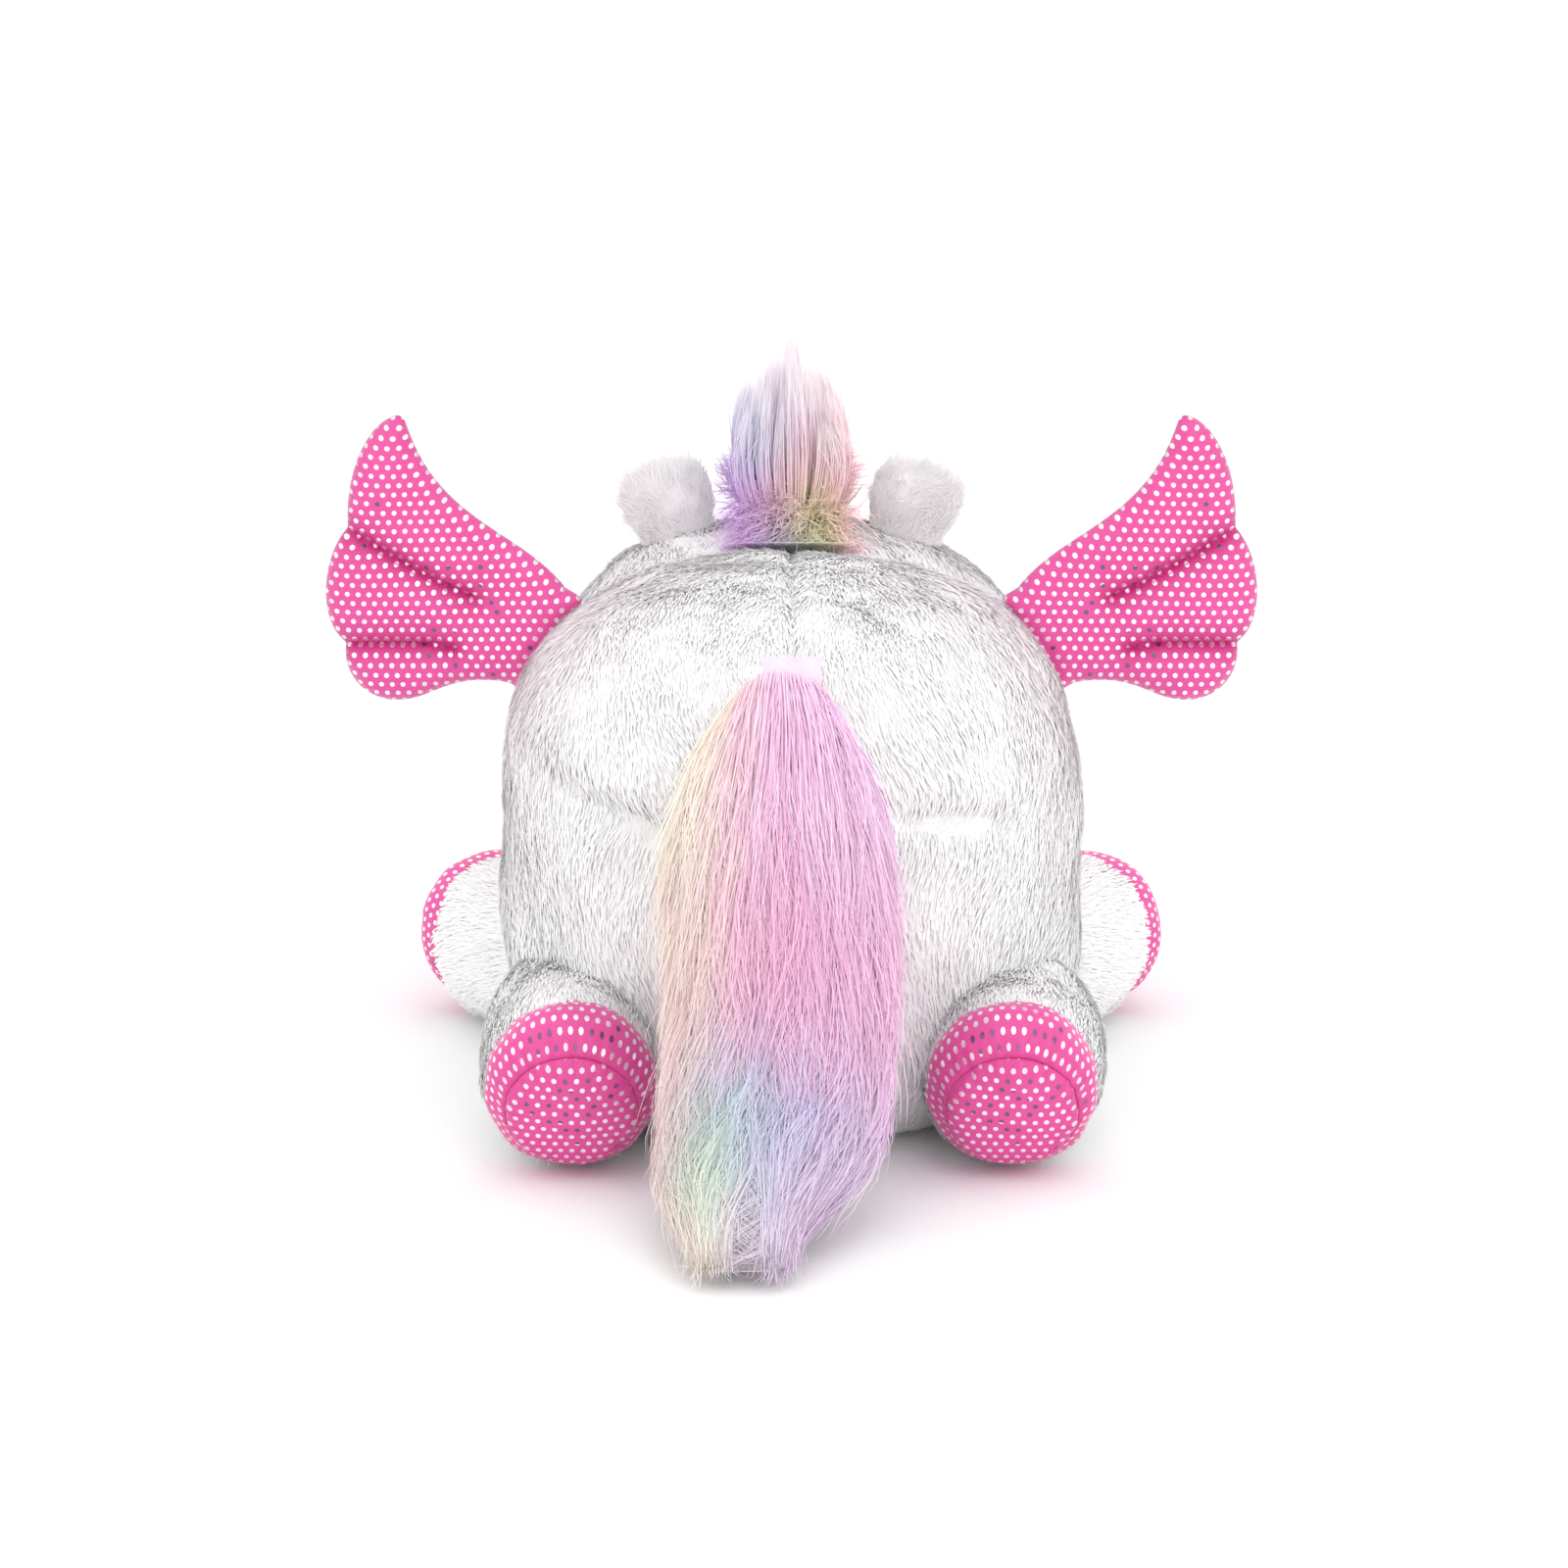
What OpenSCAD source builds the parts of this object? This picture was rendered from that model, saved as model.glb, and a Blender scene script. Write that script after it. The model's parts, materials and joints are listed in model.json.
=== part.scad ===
// Plush winged unicorn, lying on its belly: sewn covers round loose filling, millimetres.
// The body's upright axis is X = Y = 0 before the whole toy is centred; the toy faces -Y.

/* [Body] */
// Radius of the body, seen from above
body_r = 116; // [110:1:140]
// Height of the back above the floor
body_h = 207; // [190:1:250]
// Height at which the body is widest
body_wide_z = 88; // [75:1:100]
// Radius of the flat belly panel
belly_r = 78; // [60:1:82]
// Thickness of a plush cover, backing and pile roots together
cover_t = 2; // [1:0.1:3]
// Space between a cover and the filling inside it
fill_gap = 0.3; // [0.2:0.1:1]
// Space left at a sewn seam between two panels
seam_gap = 0.2; // [0.1:0.1:0.5]
// Space round a part that turns in its sewn seat
joint_gap = 0.7; // [0.4:0.1:2]

/* [Head] */
// Radius of the head, seen from the side
head_r = 92; // [84:1:96]
// Half the width of the head
head_half_w = 104; // [90:1:108]
// How far the top of the head lies below the top of the back
head_lower = 5; // [0:1:12]
// How far the head sits into the shoulders
neck_sink = 88; // [80:1:92]
// Length of the head's cover behind its widest point
neck_cover = 58; // [50:1:66]
// Radius of the muzzle
muzzle_r = 44; // [38:1:48]
// How far the muzzle's centre lies in front of the head's centre
muzzle_out = 67; // [60:1:74]
// How far the muzzle's centre lies below the head's centre
muzzle_drop = 44; // [36:1:50]

/* [Face] */
// Radius of an eye's dome
eye_r = 9; // [6:0.5:12]
// Height of an eye's dome
eye_dome_h = 5; // [3:0.5:7]
// Radius of an eye's stem
stem_r = 2; // [1.5:0.1:3]
// Length of an eye's stem
stem_len = 13; // [10:0.5:18]
// How far the ribs stand out of the stem
stem_rib = 0.3; // [0.2:0.05:0.5]
// Radius of the washer that locks an eye
washer_r = 8; // [6:0.5:10]
// Thickness of the washer
washer_t = 1.5; // [1:0.1:2.5]
// Distance of an eye's centre from the middle of the face
eye_x = 56; // [44:1:64]
// Height of an eye's centre above the head's centre, as an angle
eye_up = 8; // [0:1:20]
// Radius of a nostril's embroidery
nostril_r = 3; // [2:0.5:5]
// Thickness of embroidery
thread_t = 0.8; // [0.5:0.1:1.5]

/* [Horn] */
// Length of the horn
horn_len = 62; // [45:1:75]
// Radius of the horn at its foot
horn_r = 13; // [10:0.5:16]
// Radius of the horn at its tip
horn_tip_r = 3; // [2:0.5:5]
// Thickness of the horn's cloth
horn_t = 1; // [0.6:0.1:1.5]
// Angle of the horn above level
horn_up = 42; // [35:1:50]
// Radius of the cord wound round the horn
cord_r = 0.9; // [0.6:0.1:1.4]
// Turns of that cord
cord_turns = 5; // [3:1:7]

/* [Ears] */
// Distance of an ear's foot from the middle of the head
ear_x = 47; // [44:1:60]
// Height of an ear
ear_h = 28; // [26:1:48]
// Width of an ear
ear_w = 38; // [28:1:42]
// Thickness of an ear's plush back
ear_back_t = 3; // [2:0.5:4]
// Thickness of an ear's lining
ear_lining_t = 2; // [1:0.5:3]
// Space between an ear's foot and the head
ear_gap = 2.4; // [2:0.1:4]

/* [Mane] */
// Length of the mane's hair
mane_len = 66; // [45:1:80]
// Half the mane's width at its foot
mane_half_w = 29; // [20:1:32]
// Half the mane's width at its tips
mane_tip_half_w = 17; // [10:1:20]
// Where the mane begins, as an angle behind the top of the head
mane_back = 18; // [14:1:18]
// Where the mane ends, as an angle in front of the top of the head
mane_front = 30; // [20:1:34]
// Half the width of the tape that holds the hair
tape_half_w = 11; // [8:1:15]
// Thickness of the tape
tape_t = 1.5; // [1:0.1:2.5]

/* [Wings] */
// Distance of a wing's root behind or before the body's axis
wing_fore = 25; // [15:1:35]
// Half the thickness of a wing
wing_half_t = 6; // [4:0.5:7]
// Thickness of the wing's cloth
wing_cloth_t = 1; // [0.6:0.1:1.5]
// Space between a wing's root and the body
wing_gap = 5.5; // [5:0.5:9]
// Size of a wing: 1 reaches 93 mm out from the root
wing_size = 0.9; // [0.8:0.02:1.1]

/* [Legs] */
// Radius of a leg
leg_r = 34; // [30:1:38]
// Radius of a hoof
hoof_r = 32; // [27:1:34]
// Length of a hoof's band
hoof_len = 24; // [18:1:32]
// How far a sole bulges
sole_bulge = 5; // [3:0.5:7]
// How far a leg's ball end sits inside the body's outline
leg_sink = 13; // [10:1:16]
// Length of a hind leg from its ball end's centre to the sole's rim
hind_len = 74; // [55:1:80]
// Angle by which the hind legs point in
hind_toe_in = 2; // [0:1:6]
// Length of a front leg from its ball end's centre to the sole's rim
front_len = 72; // [65:1:90]
// Angle by which the front legs point out
front_splay = 34; // [30:1:40]
// Place of a front leg round the body, as an angle from straight ahead
front_place = 65; // [62:1:68]
// Swing of a hind leg outwards
hind_out = 28; // [0:1:30]
// Swing of a hind leg inwards
hind_in = 3; // [0:1:4]
// Swing of a front leg outwards
front_out = 32; // [0:1:35]
// Swing of a front leg inwards
front_in = 5; // [0:1:5]

/* [Tail] */
// Half the width of the tail where it is widest
tail_half_w = 44; // [34:1:46]
// Half the thickness of the tail where it is thickest
tail_half_t = 23; // [16:1:26]
// How far below the top of the back the tail is sewn on
tail_drop = 26; // [20:1:34]
// How far the tail reaches along the floor behind the body's outline
tail_reach = 121; // [100:1:150]
// Space between the tail and the body
tail_gap = 4; // [3:0.5:8]
// Space between the tail and a hind leg
tail_side_gap = 7; // [6:1:12]

/* [Hidden] */
$fn = 72;

white = "#F5F2F3";
fill_white = "#FBFBFA";
foil_pink = "#E8559F";
sole_pink = "#D93F8E";
// Larger than the whole toy, for cutting it in two.
big = 1000;
// Keeps two faces from lying exactly in one place.
eps = 0.01;

// The covers are rounded squares rather than circles in section: this is how square.
back_power = 3;
side_power = 2.2;
head_power = 2.4;

// Radius of a rounded-square quarter at the given height, both as shares of its own size.
function quarter(share, power) = pow(max(0, 1 - pow(share, power)), 1 / power);

// The body's outline, inset all over by t: radius at height z.
function body_radius(z, t = 0) =
    z >= body_wide_z
        ? (body_r - t) * quarter((z - body_wide_z) / (body_h - t - body_wide_z), back_power)
        : belly_r - t + (body_r - belly_r) * quarter((body_wide_z - z) / (body_wide_z - t), side_power);

// Half of the body's section, from the rim of the belly panel up to the middle of the back.
function body_outline(t = 0) = concat(
    [for (i = [0:10])
        let (a = i * 9)
        [belly_r - t + (body_r - belly_r) * pow(sin(a), 2 / side_power),
         body_wide_z - (body_wide_z - t) * pow(cos(a), 2 / side_power)]],
    [for (i = [1:14])
        let (a = i * 90 / 14)
        [i == 14 ? 0 : (body_r - t) * pow(cos(a), 2 / back_power),
         body_wide_z + (body_h - t - body_wide_z) * pow(sin(a), 2 / back_power)]]
);

// The head's radius at distance x from its middle.
function head_radius(x, t = 0) = (head_r - t) * quarter(x / (head_half_w - t), head_power);

// Half of the head's section: x from the middle seam to the cheek.
function head_outline(t = 0, first = 0) = [
    for (i = [0:14])
        let (a = i * 90 / 14)
        [i == 14 ? 0 : (head_r - t) * pow(cos(a), 2 / head_power),
         max(first, (head_half_w - t) * pow(sin(a), 2 / head_power))]
];

function reversed(list) = [for (i = [len(list) - 1:-1:0]) list[i]];
function cubic(a, b, c, d, t) =
    a * pow(1 - t, 3) + b * 3 * t * pow(1 - t, 2) + c * 3 * t * t * (1 - t) + d * pow(t, 3);
function curve(a, b, c, d, steps) = [for (i = [0:steps - 1]) cubic(a, b, c, d, i / steps)];

// Turns +Z to point round from straight ahead by az and up from level by el.
module aim(az, el) { rotate([90 - el, 0, az]) children(); }
module at_body() { translate([0, body_y, 0]) children(); }
module at_head() { translate([0, head_y, head_z]) children(); }

// ---- Tail's route: down the rump to the floor, then back along it ----

tail_root_z = body_h - tail_drop;
tail_root = [body_radius(tail_root_z) + tail_gap, tail_root_z + 3 * tail_gap];
// Height of the tail's last point, as a share of its half thickness.
tail_floor_t = 0.35;
// Distances behind the body's outline at which the tail turns from the rump to the floor.
tail_turn = [6, 26, 40];
// Heights there: the first as a share of the root's height, the others over the half thickness.
tail_turn_share = 0.32;
tail_turn_lift = 9;
tail_lie_share = 0.84;
function tail_beside(z, thick) = [max(body_radius(z), 0) + tail_gap + thick * tail_half_t, z];
// Place of the tail's middle line at each station: [behind the body's axis, above the floor].
tail_line = [
    tail_root,
    tail_beside(tail_root_z * 0.88, 0.62),
    tail_beside(tail_root_z * 0.72, 0.88),
    tail_beside(tail_root_z * 0.52, 1),
    [body_r + tail_gap + tail_half_t + tail_turn[0], tail_root_z * tail_turn_share],
    [body_r + tail_half_t + tail_turn[1], tail_half_t + tail_turn_lift],
    [body_r + tail_half_t * 2 + tail_turn[2], tail_half_t * tail_lie_share],
    [body_r + tail_reach, tail_half_t * tail_floor_t]
];
// Half width and half thickness at the same stations, as shares of the greatest.
tail_widths = [0.3, 0.62, 0.84, 0.96, 1, 0.98, 0.84, 0.36];
tail_thicks = [0.26, 0.56, 0.84, 0.98, 1, 0.9, 0.7, 0.3];
tail_sides = 20;
tail_fine = 3;
tail_steps = (len(tail_line) - 1) * tail_fine;
function spline(list, s) =
    let (n = len(list) - 1, i = min(floor(s), n - 1), u = s - i,
         a = list[max(i - 1, 0)], b = list[i], c = list[i + 1], d = list[min(i + 2, n)])
    0.5 * (2 * b + u * (c - a) + u * u * (2 * a - 5 * b + 4 * c - d) + pow(u, 3) * (3 * b - a - 3 * c + d));
function unit(v) = v / norm(v);
function tail_ring(s) =
    let (last = len(tail_line) - 1,
         here = spline(tail_line, s),
         way = unit(spline(tail_line, min(s + 0.1, last)) - spline(tail_line, max(s - 0.1, 0))),
         w = tail_half_w * spline(tail_widths, s), t = tail_half_t * spline(tail_thicks, s))
    [for (k = [0:tail_sides - 1]) let (b = 360 * k / tail_sides)
        [w * cos(b), here[0] + t * sin(b) * way[1], max(eps, here[1] - t * sin(b) * way[0])]];

// ---- Places that several pieces share ----

// Everything is laid out from the body's upright axis; body_y then centres the whole toy.
head_back_y = -(body_r + head_r - neck_sink);
horn_tip_y = head_back_y - (head_r + joint_gap + horn_len) * cos(horn_up) - horn_tip_r * sin(horn_up);
muzzle_tip_y = head_back_y - muzzle_out - muzzle_r;
tail_tip_y = max([for (i = [0:tail_steps]) for (p = tail_ring(i / tail_fine)) p[1]]);
body_y = -(tail_tip_y + min(horn_tip_y, muzzle_tip_y)) / 2;
head_y = body_y + head_back_y;
head_z = body_h - head_lower - head_r;

hind_x = tail_half_w + tail_side_gap + leg_r;
hind_pivot = [hind_x, body_y + sqrt(pow(body_r - leg_sink, 2) - hind_x * hind_x), leg_r];
front_pivot = [
    (body_r - leg_sink) * sin(front_place), body_y - (body_r - leg_sink) * cos(front_place), leg_r
];
hind_aim = 180 + hind_toe_in;
front_aim = front_splay;
// A leg's seat is wider than the leg, so that the places between its two limits are clear too.
swing_room = 3;
seat_len = 3 * leg_r;

// ---- Legs: a ball end, a tube, a hoof band and a sole, turned round one axis ----

module leg_seat(pivot, heading, first, last) {
    translate(pivot) sphere(r = leg_r + joint_gap);
    for (turn = [first, last])
        translate(pivot) aim(heading + turn, 0) cylinder(r = leg_r + swing_room, h = seat_len);
}
module left_leg_seats() {
    leg_seat(hind_pivot, hind_aim, -hind_out, hind_in);
    leg_seat(front_pivot, front_aim, -front_in, front_out);
}

// Share of the leg in front of its hoof that is straight before it narrows to the hoof.
leg_straight = 0.6;
function leg_outline(len, t) = concat(
    [for (i = [0:12]) let (a = -90 + i * 7.5) [(leg_r - t) * max(0, cos(a)), (leg_r - t) * sin(a)]],
    [[leg_r - t, (len - hoof_len) * leg_straight], [hoof_r - t, len - hoof_len - seam_gap]]
);
module leg_cover(len) {
    rotate_extrude() polygon(concat(leg_outline(len, 0), reversed(leg_outline(len, cover_t))));
}
module leg_stuffing(len) {
    inset = cover_t + fill_gap;
    rotate_extrude() polygon(concat(leg_outline(len, inset), [
        [hoof_r - inset, len - inset], [0, len - inset]
    ]));
}
module hoof_band(len) {
    rotate_extrude() polygon([
        [hoof_r - cover_t, len - hoof_len], [hoof_r, len - hoof_len],
        [hoof_r, len], [hoof_r - cover_t, len]
    ]);
}
function sole_arc(lift) = [for (i = [0:8]) let (s = i / 8)
    [(hoof_r - cover_t - seam_gap) * s, lift + sole_bulge * (1 - s * s)]];
module hoof_sole(len) {
    translate([0, 0, len]) rotate_extrude()
        polygon(concat(sole_arc(0), reversed(sole_arc(-cover_t))));
}
module hind_place() { translate(hind_pivot) aim(hind_aim, 0) children(); }
module front_place_leg() { translate(front_pivot) aim(front_aim, 0) children(); }
module right() { mirror([1, 0, 0]) children(); }

module hind_leg_cover_left() { color(white) hind_place() leg_cover(hind_len); }
module hind_leg_stuffing_left() { color(fill_white) hind_place() leg_stuffing(hind_len); }
module hind_hoof_band_left() { color(foil_pink) hind_place() hoof_band(hind_len); }
module hind_hoof_sole_left() { color(sole_pink) hind_place() hoof_sole(hind_len); }
module front_leg_cover_left() { color(white) front_place_leg() leg_cover(front_len); }
module front_leg_stuffing_left() { color(fill_white) front_place_leg() leg_stuffing(front_len); }
module front_hoof_band_left() { color(foil_pink) front_place_leg() hoof_band(front_len); }
module front_hoof_sole_left() { color(sole_pink) front_place_leg() hoof_sole(front_len); }

// ---- Body ----

module head_solid(grow) {
    at_head() rotate([0, 90, 0]) rotate_extrude() polygon(concat(
        reversed([for (p = head_outline(-grow)) [p[0], -p[1]]]), head_outline(-grow)
    ));
}
module body_cover_left() {
    color(white) difference() {
        at_body() translate([seam_gap / 2, 0, 0]) rotate([0, 0, -90]) rotate_extrude(angle = 180)
            polygon(concat(
                [[belly_r + seam_gap, 0]], body_outline(), reversed(body_outline(cover_t)),
                [[belly_r + seam_gap, cover_t]]
            ));
        head_solid(joint_gap);
        left_leg_seats();
    }
}
module belly_panel() {
    color(white) at_body() cylinder(r = belly_r - cover_t, h = cover_t);
}
// In the filling, a ball and a cone clear the whole swing of a leg.
module leg_clearance(pivot, heading, first, last) {
    half_swing = (last - first) / 2;
    foot_r = (leg_r + joint_gap) / cos(half_swing);
    translate(pivot) sphere(r = leg_r + swing_room);
    translate(pivot) aim(heading + (first + last) / 2, 0)
        cylinder(r1 = foot_r, r2 = foot_r + seat_len * tan(half_swing), h = seat_len);
}
module leg_clearances() {
    leg_clearance(hind_pivot, hind_aim, -hind_out, hind_in);
    leg_clearance(front_pivot, front_aim, -front_in, front_out);
}
module body_stuffing() {
    // Twice the usual gap, because an inset outline runs a little closer at the shoulders.
    inset = cover_t + 2 * fill_gap;
    color(fill_white) difference() {
        at_body() rotate_extrude() polygon(concat([[0, inset]], body_outline(inset)));
        head_solid(joint_gap + fill_gap);
        leg_clearances();
        right() leg_clearances();
    }
}

// ---- Head, muzzle and face ----

module head_half(t_out, t_in) {
    rotate([0, 90, 0]) rotate_extrude() polygon(concat(
        head_outline(t_out, seam_gap / 2), reversed(head_outline(t_in, seam_gap / 2))
    ));
}
module eye_seat(grow) {
    // The middle of the eye's back, on the outside of the head's cover.
    ring = head_radius(eye_x);
    lean = atan(pow(eye_x / head_half_w, head_power - 1) / head_half_w
        / (pow(ring / head_r, head_power - 1) / head_r));
    translate([eye_x, -ring * cos(eye_up), ring * sin(eye_up)]) aim(lean, eye_up * cos(lean))
        translate([0, 0, grow]) children();
}
module head_cover_left() {
    color(white) at_head() difference() {
        head_half(0, cover_t);
        translate([-big / 2, neck_cover, -big / 2]) cube([big, big, big]);
        eye_seat(0) cylinder(r = stem_r + stem_rib + fill_gap, h = 4 * cover_t, center = true);
    }
}
module head_stuffing() {
    color(fill_white) difference() {
        head_solid(-cover_t - fill_gap);
        at_head() eye_pocket();
        at_head() right() eye_pocket();
    }
}
module eye_pocket() {
    eye_seat(0) {
        translate([0, 0, -washer_depth - washer_t - fill_gap])
            cylinder(r = washer_r + fill_gap, h = 2 * stem_len);
        translate([0, 0, -stem_len - fill_gap])
            cylinder(r = stem_r + stem_rib + fill_gap, h = 2 * stem_len);
    }
}
washer_depth = cover_t + 3 * fill_gap;
module at_muzzle() { at_head() translate([0, -muzzle_out, -muzzle_drop]) children(); }
module muzzle_cover() {
    color(white) difference() {
        at_muzzle() sphere(r = muzzle_r);
        at_muzzle() sphere(r = muzzle_r - cover_t);
        head_solid(fill_gap);
    }
}
module muzzle_stuffing() {
    color(fill_white) difference() {
        at_muzzle() sphere(r = muzzle_r - cover_t - fill_gap);
        head_solid(fill_gap);
    }
}
rib_t = 1;
rib_pitch = 2.5;
module eye_left() {
    color("#2A2028") at_head() eye_seat(fill_gap) {
        rotate_extrude() polygon(concat(
            [[0, 0]],
            [for (i = [0:12]) let (a = i * 7.5) [eye_r * cos(a), eye_dome_h * sin(a) + eps * i]]
        ));
        translate([0, 0, -stem_len]) cylinder(r = stem_r, h = stem_len + eps);
        for (z = [rib_t - stem_len:rib_pitch:-washer_depth - washer_t - rib_t])
            translate([0, 0, z]) cylinder(r = stem_r + stem_rib, h = rib_t);
    }
}
// Space round the stem in its washer, which grips it.
washer_grip = 0.05;
module eye_washer_left() {
    color("#E9E9E6") at_head() eye_seat(-washer_depth - washer_t) difference() {
        cylinder(r = washer_r, h = washer_t);
        translate([0, 0, -eps]) cylinder(r = stem_r + washer_grip, h = washer_t + 2 * eps);
    }
}
// Space between the muzzle's cover and the embroidery on it.
thread_gap = 0.1;
// Directions of a nostril from the muzzle's middle: to the side, and up.
nostril_side = 20;
nostril_up = 16;
module nostril_left() {
    color(foil_pink) at_muzzle() aim(nostril_side, nostril_up) translate([0, 0, muzzle_r + thread_gap])
        cylinder(r = nostril_r, h = thread_t);
}
// The smile is part of a circle on the muzzle: its size, how much of it, and its middle's height.
smile_angle = 22;
smile_turn = 110;
smile_up = 4;
module mouth_stitching() {
    ring = muzzle_r + thread_t / 2 + thread_gap;
    color(foil_pink) at_muzzle() aim(0, smile_up) translate([0, 0, ring * cos(smile_angle)])
        rotate([0, 0, -(180 + smile_turn) / 2]) rotate_extrude(angle = smile_turn)
            translate([ring * sin(smile_angle), 0]) circle(r = thread_t / 2, $fn = 24);
}

// ---- Horn ----

module at_horn() { at_head() aim(0, horn_up) translate([0, 0, head_r + joint_gap]) children(); }
function horn_radius(z) = horn_r + (horn_tip_r - horn_r) * z / horn_len;
module horn_cover() {
    color("#F3C8DE") at_horn() difference() {
        cylinder(r1 = horn_r, r2 = horn_tip_r, h = horn_len);
        translate([0, 0, -eps])
            cylinder(r1 = horn_r - horn_t, r2 = horn_tip_r - horn_t, h = horn_len - horn_t);
    }
}
module horn_stuffing() {
    inset = horn_t + fill_gap;
    color(fill_white) at_horn()
        cylinder(r1 = horn_r - inset, r2 = horn_tip_r - inset, h = horn_len - 2 * inset);
}
cord_steps = 14;
cord_sides = 5;
// The cord starts just above the horn's foot and ends just below its tip.
cord_start = 3;
cord_rise = horn_len * 0.86;
cord_gap = 0.15;
function cord_centre(s) =
    let (z = cord_start + cord_rise * s, r = horn_radius(z) + cord_r + cord_gap, a = 360 * cord_turns * s)
    [r * cos(a), r * sin(a), z];
function cord_ring(s) = let (c = cord_centre(s), a = 360 * cord_turns * s)
    [for (k = [0:cord_sides - 1]) let (b = 360 * k / cord_sides)
        c + cord_r * [cos(b) * cos(a), cos(b) * sin(a), sin(b)]];
module tube_between(rings) {
    sides = len(rings[0]);
    last = len(rings) - 1;
    polyhedron(
        [for (r = rings) each r],
        concat(
            [[for (k = [sides - 1:-1:0]) k]],
            [for (i = [0:last - 1]) for (k = [0:sides - 1]) let (a = i * sides + k, b = i * sides + (k + 1) % sides)
                each [[a, b, b + sides], [a, b + sides, a + sides]]],
            [[for (k = [0:sides - 1]) last * sides + k]]
        )
    );
}
module horn_cord() {
    steps = cord_steps * cord_turns;
    color("#F7E7B0") at_horn() tube_between([for (i = [0:steps]) cord_ring(i / steps)]);
}

// ---- Mane: hair on a tape along the head's middle seam ----

module mane_band(outline) {
    at_head() rotate([0, 90, 0]) rotate([0, 0, 180 - mane_back])
        rotate_extrude(angle = mane_back + mane_front) polygon(outline);
}
module mane_tape() {
    foot = head_r + joint_gap;
    color("#F6D5E6") mane_band([
        [foot, -tape_half_w], [foot + tape_t, -tape_half_w], [foot + tape_t, tape_half_w], [foot, tape_half_w]
    ]);
}
// How far the tips round off, as a share of the mane's half width there.
mane_crown = 0.6;
module mane_hair() {
    foot = head_r + joint_gap + tape_t + fill_gap;
    tip = foot + mane_len;
    crown = mane_tip_half_w * mane_crown;
    color("#DDB8E8") mane_band([
        [foot, -mane_half_w], [tip - crown, -mane_tip_half_w], [tip, -crown / 2],
        [tip, crown / 2], [tip - crown, mane_tip_half_w], [foot, mane_half_w]
    ]);
}

// ---- Ears ----

ear_slope = atan((head_r / head_half_w) * pow(ear_x / head_half_w, head_power - 1)
    / pow(head_radius(ear_x) / head_r, head_power - 1));
module at_ear() {
    at_head() translate([ear_x, 0, head_radius(ear_x)]) rotate([0, ear_slope, 0])
        rotate([90, 0, 0]) translate([0, ear_gap, 0]) children();
}
// An ear's foot is a little narrower than the ear, and its top corners are round.
ear_foot_w = 0.8 * ear_w;
ear_corner_r = 0.34 * ear_w;
module ear_shape() {
    corner_x = ear_w / 2 - ear_corner_r;
    hull() {
        translate([-ear_foot_w / 2, 0]) square([ear_foot_w, 1]);
        for (side = [-1, 1]) translate([side * corner_x, ear_h - ear_corner_r])
            circle(r = ear_corner_r, $fn = 32);
    }
}
module ear_back_left() {
    color(white) at_ear() translate([0, 0, -ear_back_t]) linear_extrude(ear_back_t) ear_shape();
}
module ear_lining_left() {
    color("#F7C9DD") at_ear() translate([0, 0, seam_gap])
        linear_extrude(ear_lining_t) offset(delta = -ear_lining_t) ear_shape();
}

// ---- Wings: three lobes, seen from behind, with the root's middle at 0, 0 ----

wing_root_top = [-13, 20];
wing_root_end = [12, -21];
wing_tip = [57, 98];
wing_notch_high = [81, 48];
wing_notch_low = [83, -3];
wing_low_point = [58, -28.5];
wing_outline = concat(
    [wing_root_end],
    curve(wing_root_top, [8, 48], [44, 48], wing_tip, 10),
    curve(wing_tip, [72, 96], [82, 72], wing_notch_high, 9),
    curve(wing_notch_high, [93, 36], [96, 6], wing_notch_low, 8),
    curve(wing_notch_low, [86, -20], [72, -31], wing_low_point, 6),
    curve(wing_low_point, [45, -27], [38, -16], wing_root_end, 6)
);
// The root's middle clears the body along the body's own outward slope.
wing_tilt = atan2(wing_root_end[0] - wing_root_top[0], wing_root_top[1] - wing_root_end[1]);
// Height of the root's middle, as a share of the way from the widest place to the top of the back.
wing_foot_share = 0.71;
wing_foot_z = body_wide_z + (body_h - body_wide_z) * wing_foot_share;
wing_foot_x = sqrt(pow(body_radius(wing_foot_z), 2) - wing_fore * wing_fore);
wing_root = [
    wing_foot_x + wing_gap * cos(wing_tilt), body_y - wing_fore, wing_foot_z + wing_gap * sin(wing_tilt)
];
module at_wing() { translate(wing_root) rotate([90, 0, 0]) children(); }
module wing_shape(inset) { offset(delta = -inset) scale(wing_size) polygon(wing_outline); }
module wing_half(first) {
    // One face of cloth with its own half of the edge.
    difference() {
        linear_extrude(wing_half_t - first) wing_shape(0);
        translate([0, 0, -eps]) linear_extrude(wing_half_t - first - wing_cloth_t) wing_shape(wing_cloth_t);
    }
}
module wing_rear_cover_left() {
    color(foil_pink) at_wing() translate([0, 0, -seam_gap / 2]) mirror([0, 0, 1]) wing_half(seam_gap / 2);
}
module wing_front_cover_left() {
    color(foil_pink) at_wing() translate([0, 0, seam_gap / 2]) wing_half(seam_gap / 2);
}
module wing_padding_left() {
    inset = wing_cloth_t + fill_gap;
    color(fill_white) at_wing() translate([0, 0, inset - wing_half_t])
        linear_extrude(2 * (wing_half_t - inset)) wing_shape(inset);
}

// ---- Tail ----

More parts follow.
